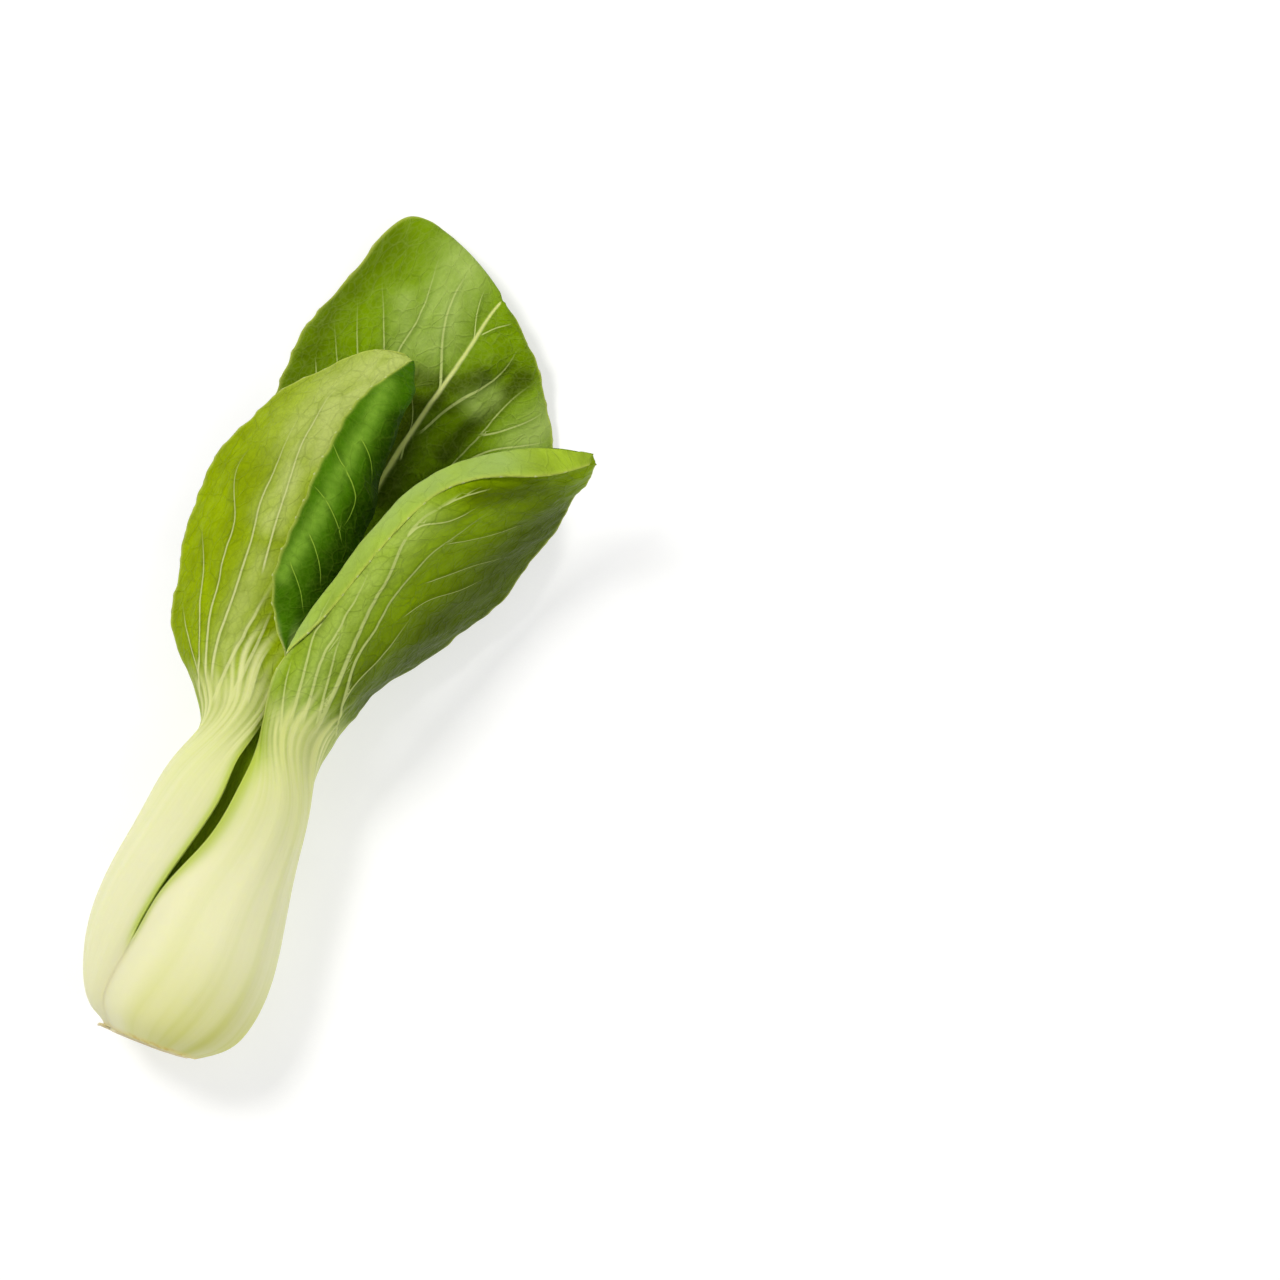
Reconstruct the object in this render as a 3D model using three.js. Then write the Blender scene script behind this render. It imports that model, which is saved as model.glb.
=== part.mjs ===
// Bok choy head lying on its side: a stem stub and seven leaves, each leaf a pale stalk and a green blade.
// Millimetres. X runs across the head, Y from the cut stem to the leaf tips, Z up from the table.
import * as THREE from 'three';

// Swollen base of the head: its outer skin is a rounded tube about a line that runs along Y.
const BULB_AT = [0, 5, 12.5, 23.5, 36, 50, 64, 78];
const BULB_RADIUS = [10.9, 17.4, 21.3, 22.9, 22.0, 19.9, 17.4, 16.0];
const BULB_CENTRE_X = [0.2, 0.6, 0.4, -0.4, -1.1, -1.2, -0.7, -0.2];
const BULB_CENTRE_Z = [20.2, 19.8, 19.4, 19.2, 20.0, 21.4, 23.1, 25.0];
const BULB_FLATTENING = 0.9;

// Cut stem that the leaves grow from.
const CROWN_AT = [0, 2, 4.5, 6.5, 8.5, 10];
const CROWN_RADIUS = [8.9, 10.2, 11.6, 10.6, 7.6, 4.2];
const CROWN_TOP = 10.6;
const CROWN_LOBE = 0.35;
const CROWN_LOBES = 5;
const CROWN_SEGMENTS = 30;

const BLADE_THICKNESS = 0.8;
const EDGE_THICKNESS = 1.2;
const COLOUR_GAP = 0.6;
const NOTCH_POINT = 1.2;
const BLADE_SETBACK = 3;
const TIP_WITHOUT_STALK = 9;
const FLUTE_DEPTH = 0.3;
const FLUTES_PER_HALF = 2.5;
const PUCKER_HEIGHT = 0.45;
const PUCKER_LENGTH = 15;
const PUCKER_SLANT = 14;
const RUFFLE_HEIGHT = 0.7;
const RUFFLE_LENGTH = 21;
const TOOTH_HEIGHT = 0.3;
const TOOTH_LENGTH = 9;
const SURFACE_STEP = 0.01;

const STALK_COLOUR = '#e3e6b9';
const CROWN_COLOUR = '#e9e2bd';

// Each leaf starts as rows round the bulb and goes on as rows of points from left margin to right margin.
// A bulb row is [y, angle of left edge, angle of right edge, depth of middle, depth of edges, thickness].
// A blade row is [share of the half width that is still stalk, stalk thickness, ...points].
// Points lie on the outer skin, and the leaf grows thicker inwards from it.
const LEAVES = [
  {
    name: 'leaf_left',
    colour: '#93ab35',
    facing: 1,
    across: [-1, -0.5, 0, 0.3, 0.55, 0.78, 1],
    stalkColumns: 10,
    bladeColumns: [5, 7],
    stalkRows: 13,
    bladeRows: 22,
    bulb: [
      [0.6, 231, 142, 0, 0, 1.2],
      [6, 231, 140.2, 0, 0, 4.4],
      [13, 231, 130.5, 0, 0, 5.3],
      [23, 230, 120.2, 0, 0, 5.2],
      [37, 228, 112.5, 0, 0, 4.8],
      [52, 224, 103, 0, 0, 4.4],
      [66, 213, 96.5, 0, 0, 3.8],
    ],
    blade: [
      [1, 3.2, [-16.6, 79, 23], [-14.4, 80.5, 31], [-9.6, 82, 35.5], [-6.3, 82.5, 36.4],
        [-3.2, 82.5, 36.2], [-1.4, 82.5, 35.6], [-0.3, 82, 34.6]],
      [0.45, 2.7, [-28.3, 92.5, 17], [-21.5, 93, 27], [-12.6, 94, 35.4], [-6.5, 95, 36.6],
        [-1.7, 94, 37.4], [-0.4, 94, 38.5], [0, 94.5, 40.2]],
      [0.22, 2.3, [-32.6, 105.5, 14], [-23, 106, 25.5], [-11, 106, 35.2], [-3, 106, 35.4], [3, 106, 37.6],
        [0, 106.5, 41.6], [-7.8, 107, 40.4]],
      [0.13, 2.0, [-35, 121, 12], [-23.5, 121, 25], [-8.8, 121, 35], [-1, 121, 34.6], [5.4, 121, 37.4],
        [0.5, 121, 42.4], [-10.4, 121, 40.8]],
      [0.09, 1.7, [-33.4, 137.5, 13], [-21.5, 138, 26], [-6, 138, 35.6], [0.2, 138, 35], [5.1, 137, 37.6],
        [0.5, 137, 42.4], [-9.6, 137, 41.2]],
      [0.06, 1.4, [-26.7, 152.3, 17], [-16.5, 153.5, 28], [-3.2, 154, 36], [0.7, 153, 36], [3.9, 152, 38],
        [0.5, 152, 42], [-8.1, 152, 41.6]],
      [0.04, 1.2, [-17, 164, 23], [-9.5, 165, 30.5], [-0.6, 166, 36.4], [2.2, 165.5, 37],
        [4.2, 164.5, 38.4], [2.4, 163, 41.2], [-5.2, 161.5, 41.4]],
      [0, 1, [-7.2, 171.9, 30], [-3, 171.8, 33], [0.9, 171.2, 36], [2.2, 170.4, 36.8], [3.3, 169, 37.8],
        [2.3, 168, 39.2], [-1.6, 167.3, 39.6]],
      [0, 1, [-0.4, 173, 35], [0.5, 173, 35.2], [1.5, 172.8, 35.6], [1.9, 172.6, 35.8], [2.2, 172.3, 36],
        [2, 171.9, 36.3], [1.4, 171.5, 36.4]],
    ],
  },
  {
    name: 'leaf_right',
    colour: '#86a32f',
    facing: 1,
    across: [-1, -0.72, -0.4, 0, 0.5, 1],
    stalkColumns: 12,
    bladeColumns: [7, 5],
    stalkRows: 13,
    bladeRows: 22,
    bulb: [
      [0.6, 138, -50, 0, 0, 1.2],
      [6, 137, -50, 0, 0, 4.4],
      [13, 128, -50, 0, 0, 5.3],
      [23, 118.2, -50, 0, 0, 5.2],
      [37, 110, -48, 0, 0, 5.0],
      [52, 94.5, -44, 0, 0, 4.6],
      [66, 89, -36, 0, 0, 4.0],
    ],
    blade: [
      [1, 3.4, [-0.4, 79, 36.6], [0.6, 79, 38.6], [4, 79.5, 40.8], [9.5, 80, 39.4], [14.6, 80.5, 32.5],
        [16.4, 81, 23]],
      [0.5, 2.9, [-2, 93, 42.4], [-0.5, 92.6, 44.4], [4, 92, 46], [12.6, 91, 43.4], [17.2, 90.4, 34],
        [18.8, 90.4, 21]],
      [0.26, 2.5, [2.9, 105, 48.4], [0.8, 105.6, 45.8], [6.5, 104, 49], [15.6, 103, 46],
        [22.4, 102, 33.5], [25.8, 103, 17]],
      [0.16, 2.1, [8.4, 119.5, 52.2], [5, 121.7, 49], [10.5, 119.8, 51.6], [18.6, 119, 47],
        [29.6, 117, 32], [37, 119, 14]],
      [0.11, 1.8, [13.6, 134, 54], [9.9, 136.7, 50.6], [16, 134, 52.8], [25, 134.6, 47], [35, 132, 32],
        [43.6, 134.4, 15]],
      [0.08, 1.5, [20.6, 146.6, 54.2], [17.4, 149.6, 51], [23, 146.4, 52.6], [32.5, 146, 46.4],
        [41, 144.4, 33.5], [47.3, 147.6, 19.5]],
      [0.05, 1.3, [31, 153.8, 52.4], [28.6, 159.1, 49.4], [32, 154.6, 50.6], [39.6, 154.6, 45.6],
        [45.4, 153.6, 36.6], [49.4, 156.4, 27.5]],
      [0, 1, [42, 158.4, 48.8], [40, 164.7, 46.4], [42.2, 161, 47], [46, 160.6, 43.4],
        [48.8, 160.2, 38.6], [50.7, 161.7, 33.5]],
      [0, 1, [49.6, 164, 43], [49.4, 166.6, 42], [50, 166.2, 41.8], [50.5, 165.7, 41],
        [50.8, 165.2, 40.2], [51, 164.6, 39.4]],
    ],
  },
  {
    name: 'leaf_back',
    colour: '#7f9d33',
    facing: -1,
    across: [-1, -0.5, 0, 0.25, 0.42, 0.7, 1],
    stalkColumns: 10,
    bladeColumns: [6, 7],
    stalkRows: 13,
    bladeRows: 24,
    bulb: [
      [0.6, 238, 302, 0, 0, 1.2],
      [6, 226, 314, 0, 4.3, 4.0],
      [13, 215, 323, 0, 5.7, 4.2],
      [23, 213, 325, 0, 5.9, 4.6],
      [37, 213, 325, 0, 5.9, 4.6],
      [52, 217, 322, 0, 5.7, 4.2],
      [66, 223, 318, 0.6, 5.0, 3.6],
    ],
    blade: [
      [1, 3.1, [-11.5, 82, 12.6], [-6.5, 82, 10], [-1.2, 82, 9.2], [2, 82, 9.5], [4.5, 82, 10],
        [8.2, 82, 11], [12, 82, 13]],
      [0.3, 2.6, [-19, 105, 6.5], [-10, 105, 6], [0.3, 105, 6.4], [4.8, 105, 7.8], [8.4, 105, 7],
        [14, 105, 7], [21, 104, 8]],
      [0.1, 2.1, [-25, 130, 1.6], [-12, 131, 4.6], [3.4, 131, 5.2], [8.6, 131, 8], [12.7, 130, 5.6],
        [21, 129, 6.2], [33, 127, 2.6]],
      [0.06, 1.8, [-26.5, 151, -0.4], [-11, 152, 5], [6.5, 151, 5.8], [12.6, 151.5, 9], [17, 151.5, 5.6],
        [27, 150, 6.8], [39.8, 149, -0.4]],
      [0.045, 1.5, [-26, 168, 1.4], [-8.5, 169, 7], [10.2, 168, 7.2], [16.6, 168, 9.6], [21.4, 168, 6.6],
        [30, 167.6, 7.6], [38.6, 167.4, 2.6]],
      [0.04, 1.3, [-22.6, 180, 2.8], [-5.6, 181, 8.6], [12.6, 178, 8.8], [18.2, 178, 10.2],
        [22, 178, 8.2], [27.6, 177.4, 8.6], [32.6, 177.4, 5.4]],
      [0.035, 1.2, [-17, 194.6, 4.6], [-2.6, 191, 10], [14.1, 185.6, 10], [18.7, 185, 10.8],
        [21.4, 184.8, 9.6], [24.6, 184.4, 9.2], [27.6, 184, 7.8]],
      [0, 1, [-8.6, 203.8, 6.8], [3, 198.2, 10.8], [15, 190, 10.4], [18.3, 189.2, 10.8],
        [19.9, 189, 10.2], [21.8, 188.6, 9.8], [23.6, 188.2, 9]],
      [0, 1, [3.6, 202, 8.6], [9.4, 197.8, 10.4], [15.7, 192.4, 10.4], [17.6, 191.6, 10.4],
        [18.6, 191.3, 10.1], [19.8, 190.9, 9.8], [20.8, 190.6, 9.4]],
      [0, 1, [13, 196.4, 9.2], [14.8, 195, 9.8], [16.1, 193.8, 10], [16.6, 193.4, 10], [16.9, 193.1, 9.9],
        [17.2, 192.8, 9.8], [17.6, 192.4, 9.6]],
    ],
  },
  {
    name: 'leaf_inner_top',
    colour: '#a2b93f',
    facing: 1,
    across: [-1, -0.5, 0, 0.5, 1],
    stalkColumns: 6,
    bladeColumns: [3, 3],
    stalkRows: 8,
    bladeRows: 10,
    bulb: [
      [8, 134, 66, 6.4, 6.6, 1.6],
      [14, 138, 62, 6.5, 6.8, 2.2],
      [24, 140, 60, 6.4, 6.8, 2.6],
      [42, 136, 58, 6.4, 6.8, 2.6],
      [60, 130, 60, 6.6, 6.8, 2.4],
      [72, 124, 64, 6.8, 7.0, 2.0],
    ],
    blade: [
      [0.6, 1.8, [-9, 84, 24], [-5.4, 84, 28], [-1.6, 84, 29.6], [2.4, 84, 28.6], [6, 84, 25]],
      [0.22, 1.5, [-13, 97, 19.5], [-8, 97, 26], [-2, 97, 28.4], [4.2, 97, 26], [8.6, 96, 19.5]],
      [0.1, 1.2, [-12.4, 110, 20.5], [-8, 111, 25.6], [-3, 111, 27.6], [2.2, 110, 25.6], [6, 109, 20.5]],
      [0, 1, [-5.4, 119, 24.6], [-4.8, 119.4, 25], [-4, 119.6, 25.2], [-3.2, 119.4, 25],
        [-2.6, 119, 24.6]],
    ],
  },
  {
    name: 'leaf_inner_left',
    colour: '#8fae3a',
    facing: -1,
    across: [-1, -0.5, 0, 0.5, 1],
    stalkColumns: 6,
    bladeColumns: [3, 3],
    stalkRows: 8,
    bladeRows: 14,
    bulb: [
      [9.2, 168, 246, 8.8, 8.8, 1.5],
      [14, 164, 248, 8.8, 8.8, 2.4],
      [24, 162, 250, 8.8, 8.8, 2.8],
      [42, 164, 250, 8.8, 8.8, 2.8],
      [60, 172, 252, 8.6, 8.6, 2.4],
    ],
    blade: [
      [1, 2.2, [-11.6, 82, 22], [-10.6, 82, 18.6], [-7.6, 82, 16.4], [-4.2, 82, 15.6], [-0.8, 82, 16]],
      [0.4, 1.8, [-23.4, 104, 13.6], [-17, 105, 13], [-10, 105, 12.6], [-4, 105, 12.6], [2, 105, 14]],
      [0.16, 1.4, [-27.6, 130, 9.6], [-20, 130, 11.8], [-11, 130, 12.4], [-3, 130, 12.4], [5, 129, 13.6]],
      [0.08, 1.2, [-22, 147, 11.4], [-16.5, 149, 12.8], [-10.5, 149, 13.6], [-4.5, 148, 13.4],
        [0.6, 145, 13.6]],
      [0, 1, [-11.8, 157, 14], [-11, 157.3, 14.1], [-10, 157.4, 14.2], [-9.2, 157.2, 14.1],
        [-8.6, 156.8, 14]],
    ],
  },
  {
    name: 'leaf_inner_right',
    colour: '#8aa936',
    facing: -1,
    across: [-1, -0.5, 0, 0.5, 1],
    stalkColumns: 6,
    bladeColumns: [3, 3],
    stalkRows: 8,
    bladeRows: 14,
    bulb: [
      [9.2, 292, 372, 8.8, 8.8, 1.5],
      [14, 290, 376, 8.8, 8.8, 2.4],
      [24, 290, 378, 8.8, 8.8, 2.8],
      [42, 290, 376, 8.8, 8.8, 2.8],
      [60, 290, 366, 8.6, 8.6, 2.4],
    ],
    blade: [
      [1, 2.2, [2, 82, 15.8], [4.8, 82, 15.6], [7.8, 82, 16.4], [9.8, 82, 18.6], [10.6, 82, 21.4]],
      [0.4, 1.8, [4.6, 106, 13.6], [10, 105, 12.8], [15, 104, 13], [18.4, 103, 13.8], [21, 102, 15]],
      [0.16, 1.4, [12, 131, 13.6], [19, 130, 13.2], [26, 128.5, 13.4], [31.5, 127, 13.2],
        [36.4, 125.5, 12]],
      [0.08, 1.2, [21.4, 146.6, 14.4], [26.4, 146.6, 14.8], [32.4, 145, 15.6], [37, 143.4, 15],
        [41, 141.6, 13.4]],
      [0, 1, [36.4, 154.8, 16.4], [37.2, 154.8, 16.5], [38, 154.5, 16.5], [38.6, 153.9, 16.4],
        [39, 153.2, 16.3]],
    ],
  },
  {
    name: 'leaf_heart',
    colour: '#b4c652',
    facing: -1,
    across: [-1, -0.5, 0, 0.5, 1],
    stalkColumns: 6,
    bladeColumns: [3, 3],
    stalkRows: 7,
    bladeRows: 7,
    bulb: [],
    blade: [
      [1, 1.8, [-3.4, 12.5, 21], [-2.5, 12.5, 18.6], [0, 12.5, 17.6], [2.5, 12.5, 18.6], [3.4, 12.5, 21]],
      [1, 2.0, [-4.8, 30, 22], [-3.8, 30, 18.8], [-0.6, 30, 17.4], [2.6, 30, 18.8], [3.6, 30, 22]],
      [1, 1.8, [-5, 50, 24], [-4, 50, 20.6], [-0.8, 50, 19.2], [2.4, 50, 20.6], [3.4, 50, 24]],
      [0.4, 1.5, [-5.6, 64, 25], [-4, 64, 22], [-0.4, 64, 20.6], [3.2, 64, 22], [4.8, 64, 25]],
      [0.14, 1.2, [-5, 77, 23.6], [-3.4, 77, 21.6], [0, 77, 20.8], [3.4, 77, 21.6], [5, 77, 23.6]],
      [0, 1, [-1, 87, 22.2], [-0.5, 87.3, 22.1], [0, 87.4, 22], [0.5, 87.3, 22.1], [1, 87, 22.2]],
    ],
  },
];

// Natural cubic curve through values at rising knots.
function smoothCurve(knots, values) {
  const last = knots.length - 1;
  const share = new Array(last + 1).fill(0);
  const bend = new Array(last + 1).fill(0);
  for (let i = 1; i < last; i++) {
    const before = knots[i] - knots[i - 1];
    const after = knots[i + 1] - knots[i];
    const turn = (values[i + 1] - values[i]) / after - (values[i] - values[i - 1]) / before;
    const pivot = 2 * (before + after) - before * share[i - 1];
    share[i] = after / pivot;
    bend[i] = (6 * turn - before * bend[i - 1]) / pivot;
  }
  for (let i = last - 1; i > 0; i--) bend[i] -= share[i] * bend[i + 1];
  return (at) => {
    let k = 0;
    while (k < last - 1 && at > knots[k + 1]) k++;
    const span = knots[k + 1] - knots[k];
    const a = (knots[k + 1] - at) / span;
    const b = (at - knots[k]) / span;
    const curved = (a ** 3 - a) * bend[k] + (b ** 3 - b) * bend[k + 1];
    return a * values[k] + b * values[k + 1] + (curved * span * span) / 6;
  };
}

function straightCurve(knots, values) {
  return (at) => {
    let k = 0;
    while (k < knots.length - 2 && at > knots[k + 1]) k++;
    const b = THREE.MathUtils.clamp((at - knots[k]) / (knots[k + 1] - knots[k]), 0, 1);
    return values[k] + b * (values[k + 1] - values[k]);
  };
}

const bulbRadius = smoothCurve(BULB_AT, BULB_RADIUS);
const bulbCentreX = smoothCurve(BULB_AT, BULB_CENTRE_X);
const bulbCentreZ = smoothCurve(BULB_AT, BULB_CENTRE_Z);

// Point at a depth under the skin of the bulb; the angle turns from +X up to +Z.
function onBulb(y, degrees, depth) {
  const angle = THREE.MathUtils.degToRad(degrees);
  const radius = bulbRadius(y) - depth;
  const x = bulbCentreX(y) + radius * Math.cos(angle);
  const z = bulbCentreZ(y) + radius * BULB_FLATTENING * Math.sin(angle);
  return new THREE.Vector3(x, y, z);
}

function bulbRow(leaf, [y, left, right, middleDepth, edgeDepth]) {
  return leaf.across.map((v) =>
    onBulb(y, left + ((right - left) * (v + 1)) / 2, middleDepth + (edgeDepth - middleDepth) * v * v));
}

// The leaf's rows joined into one smooth surface.
// u is the mean length from the stem, and v runs from -1 at the left margin to 1 at the right.
function leafSurface(leaf) {
  const rows = leaf.bulb.map((row) => bulbRow(leaf, row));
  for (const row of leaf.blade) rows.push(row.slice(2).map((p) => new THREE.Vector3(...p)));
  const stalkShares = [...leaf.bulb.map(() => 1), ...leaf.blade.map((row) => row[0])];
  const thicknesses = [...leaf.bulb.map((row) => row[5]), ...leaf.blade.map((row) => row[1])];
  const lengths = [0];
  for (let i = 1; i < rows.length; i++) {
    const steps = rows[i].map((p, j) => p.distanceTo(rows[i - 1][j]));
    lengths.push(lengths[i - 1] + steps.reduce((sum, step) => sum + step, 0) / steps.length);
  }
  const rails = leaf.across.map((_, j) =>
    ['x', 'y', 'z'].map((axis) => smoothCurve(lengths, rows.map((row) => row[j][axis]))));
  const end = lengths[lengths.length - 1];
  return {
    end,
    stalkEnd: Math.min(lengths[stalkShares.indexOf(0)], end - TIP_WITHOUT_STALK),
    bladeStart: lengths[stalkShares.lastIndexOf(1)],
    stalkShare: straightCurve(lengths, stalkShares),
    stalkThickness: straightCurve(lengths, thicknesses),
    plain(u, v) {
      const [x, y, z] = [0, 1, 2].map((axis) =>
        smoothCurve(leaf.across, rails.map((rail) => rail[axis](u)))(v));
      return new THREE.Vector3(x, y, z);
    },
  };
}

// Unit directions of the surface at (u, v): across it to the right, and towards the face that grew inwards.
function directionsAt(leaf, surface, u, v) {
  const low = Math.max(-1, v - SURFACE_STEP);
  const high = Math.min(1, v + SURFACE_STEP);
  const across = surface.plain(u, high).sub(surface.plain(u, low));
  const behind = Math.max(0, u - 0.5);
  const ahead = Math.min(surface.end, u + 0.5);
  const along = surface.plain(ahead, v).sub(surface.plain(behind, v));
  const perUnit = across.length() / (high - low);
  const inward = along.clone().cross(across).normalize().multiplyScalar(leaf.facing);
  return { across: across.normalize(), inward, perUnit };
}

// Outer and inner skin of the leaf at (u, v).
// The stalk has flutes, and the blade has puckers, ruffles and a toothed margin.
function skinsAt(leaf, surface, u, v, thickness) {
  const { across, inward } = directionsAt(leaf, surface, u, v);
  const green = THREE.MathUtils.smoothstep(Math.abs(v) - surface.stalkShare(u), -0.05, 0.35);
  const flute = 1 - Math.cos(Math.PI * 2 * FLUTES_PER_HALF * v);
  const pale = (1 - green) * (1 - v ** 4) * THREE.MathUtils.smoothstep(u, 4, 20) * surface.stalkShare(u);
  const side = Math.abs(v);
  const nearTip = THREE.MathUtils.smoothstep(surface.end - u, 0, 12);
  const along = (2 * Math.PI * (u - PUCKER_SLANT * side)) / PUCKER_LENGTH;
  const pucker = Math.sin(along) * Math.sin(Math.PI * side);
  const ruffle = Math.sin((2 * Math.PI * u) / RUFFLE_LENGTH + v) * side ** 4;
  const tooth = Math.cos((2 * Math.PI * u) / TOOTH_LENGTH) * Math.sign(v) * side ** 8;
  const lift = green * nearTip * (PUCKER_HEIGHT * pucker + RUFFLE_HEIGHT * ruffle);
  const outer = surface.plain(u, v)
    .addScaledVector(inward, FLUTE_DEPTH * flute * pale * 0.5 + lift)
    .addScaledVector(across, TOOTH_HEIGHT * tooth * green * nearTip);
  const inner = outer.clone().addScaledVector(inward, thickness);
  for (const point of [outer, inner]) point.z = Math.max(point.z, point === outer ? 0 : thickness);
  return [outer, inner];
}

function solidMesh(name, colour, outer, inner, triangles, facing) {
  const count = outer.length;
  const faces = [];
  const freeEdges = new Map();
  for (const [a, b, c] of triangles) {
    const skin = facing > 0 ? [a, c, b] : [a, b, c];
    faces.push(skin, skin.map((i) => i + count).reverse());
    for (let i = 0; i < 3; i++) {
      const [from, to] = [skin[i], skin[(i + 1) % 3]];
      if (!freeEdges.delete(`${to} ${from}`)) freeEdges.set(`${from} ${to}`, [from, to]);
    }
  }
  for (const [from, to] of freeEdges.values()) {
    faces.push([to, from, from + count], [to, from + count, to + count]);
  }
  const geometry = new THREE.BufferGeometry();
  const positions = [...outer, ...inner].flatMap((p) => [p.x, p.y, p.z]);
  geometry.setAttribute('position', new THREE.Float32BufferAttribute(positions, 3));
  geometry.setIndex(faces.flat());
  geometry.computeVertexNormals();
  const material = new THREE.MeshStandardMaterial({ color: colour, roughness: 0.5, metalness: 0 });
  const mesh = new THREE.Mesh(geometry, material);
  mesh.name = name;
  return mesh;
}

function evenSteps(from, to, count) {
  return Array.from({ length: count + 1 }, (_, i) => from + ((to - from) * i) / count);
}

// Rows where stalk and blade lie side by side, so that their facing edges follow each other.
function rowsBeside(leaf, surface) {
  const start = surface.bladeStart + BLADE_SETBACK;
  const end = surface.stalkEnd - NOTCH_POINT;
  return evenSteps(start, end, Math.round((leaf.bladeRows * (end - start)) / (surface.end - start)));
}

function stalkMesh(leaf, surface) {
  const columns = leaf.stalkColumns;
  const outer = [];
  const inner = [];
  const triangles = [];
  const beside = rowsBeside(leaf, surface);
  const rows = [...evenSteps(0, beside[0], leaf.stalkRows), ...beside.slice(1)];
  rows.forEach((u, row) => {
    for (let column = 0; column <= columns; column++) {
      const q = (2 * column) / columns - 1;
      const v = q * Math.max(surface.stalkShare(u), 0.02);
      const middle = surface.stalkThickness(u);
      const edge = Math.min(middle, EDGE_THICKNESS);
      const thickness = edge + (middle - edge) * (1 - q * q) ** 0.8;
      const [out, into] = skinsAt(leaf, surface, u, v, thickness);
      outer.push(out);
      inner.push(into);
      if (row > 0 && column > 0) {
        const here = row * (columns + 1) + column;
        const below = here - columns - 1;
        triangles.push([below - 1, here - 1, here], [below - 1, here, below]);
      }
    }
  });
  return solidMesh(`${leaf.name}_stalk`, STALK_COLOUR, outer, inner, triangles, leaf.facing);
}

// The blade is a sheet with a notch for the stalk.
// Its left and right halves share their middle line past the notch.
function bladeMesh(leaf, surface) {
  const [leftColumns, rightColumns] = leaf.bladeColumns;
  const notch = surface.stalkEnd;
  const beside = rowsBeside(leaf, surface);
  const rows = [...beside, ...evenSteps(notch, surface.end, Math.max(3, leaf.bladeRows - beside.length))];
  const outer = [];
  const inner = [];
  const triangles = [];
  const addPoint = (u, v) => {
    const [out, into] = skinsAt(leaf, surface, u, v, BLADE_THICKNESS);
    outer.push(out);
    inner.push(into);
    return outer.length - 1;
  };
  let previous = null;
  for (const u of rows) {
    const open = u < notch - 1e-6;
    const share = open ? surface.stalkShare(u) : 0;
    const inside = (sign) => {
      if (!open) return 0;
      const gap = COLOUR_GAP / directionsAt(leaf, surface, u, sign * share).perUnit;
      return sign * (Math.max(share, 0.02) + gap);
    };
    const left = evenSteps(-1, inside(-1), leftColumns).map((v) => addPoint(u, v));
    const right = evenSteps(inside(1), 1, rightColumns).map((v, i) =>
      (i === 0 && !open ? left[leftColumns] : addPoint(u, v)));
    if (previous) {
      for (const [lower, upper] of [[previous[0], left], [previous[1], right]]) {
        for (let i = 1; i < upper.length; i++) {
          triangles.push([lower[i - 1], upper[i - 1], upper[i]], [lower[i - 1], upper[i], lower[i]]);
        }
      }
    }
    previous = [left, right];
  }
  return solidMesh(`${leaf.name}_blade`, leaf.colour, outer, inner, triangles, leaf.facing);
}

// The stem stub: a flat cut face at y = 0, and a lobed dome inside the leaf bases.
function crownMesh() {
  const positions = [];
  const indices = [];
  const centreX = BULB_CENTRE_X[0];
  const centreZ = BULB_CENTRE_Z[0];
  CROWN_AT.forEach((y, ring) => {
    for (let i = 0; i < CROWN_SEGMENTS; i++) {
      const angle = (i / CROWN_SEGMENTS) * 2 * Math.PI;
      const radius = CROWN_RADIUS[ring] + CROWN_LOBE * Math.cos(CROWN_LOBES * angle);
      const height = radius * BULB_FLATTENING * Math.sin(angle);
      positions.push(centreX + radius * Math.cos(angle), y, centreZ + height);
      if (ring > 0) {
        const here = ring * CROWN_SEGMENTS + i;
        const next = ring * CROWN_SEGMENTS + ((i + 1) % CROWN_SEGMENTS);
        indices.push(here, next, next - CROWN_SEGMENTS, here, next - CROWN_SEGMENTS, here - CROWN_SEGMENTS);
      }
    }
  });
  const bottom = positions.length / 3;
  const topRing = bottom - CROWN_SEGMENTS;
  positions.push(centreX, 0, centreZ, centreX, CROWN_TOP, centreZ);
  for (let i = 0; i < CROWN_SEGMENTS; i++) {
    const next = (i + 1) % CROWN_SEGMENTS;
    indices.push(bottom, i, next, bottom + 1, topRing + next, topRing + i);
  }
  const geometry = new THREE.BufferGeometry();
  geometry.setAttribute('position', new THREE.Float32BufferAttribute(positions, 3));
  geometry.setIndex(indices);
  geometry.computeVertexNormals();
  const material = new THREE.MeshStandardMaterial({ color: CROWN_COLOUR, roughness: 0.6, metalness: 0 });
  const mesh = new THREE.Mesh(geometry, material);
  mesh.name = 'crown';
  return mesh;
}

const head = new THREE.Group();
head.name = 'bok_choy';
head.add(crownMesh());
for (const leaf of LEAVES) {
  const surface = leafSurface(leaf);
  head.add(stalkMesh(leaf, surface), bladeMesh(leaf, surface));
}

// The head stands with the middle of its footprint at the origin and its lowest point on the table.
const extent = new THREE.Box3().setFromObject(head);
head.position.set(-(extent.min.x + extent.max.x) / 2, -(extent.min.y + extent.max.y) / 2, -extent.min.z);

export default head;
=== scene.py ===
import math

import bpy
import numpy as np
from mathutils import Matrix, Vector
from mathutils.kdtree import KDTree


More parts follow.
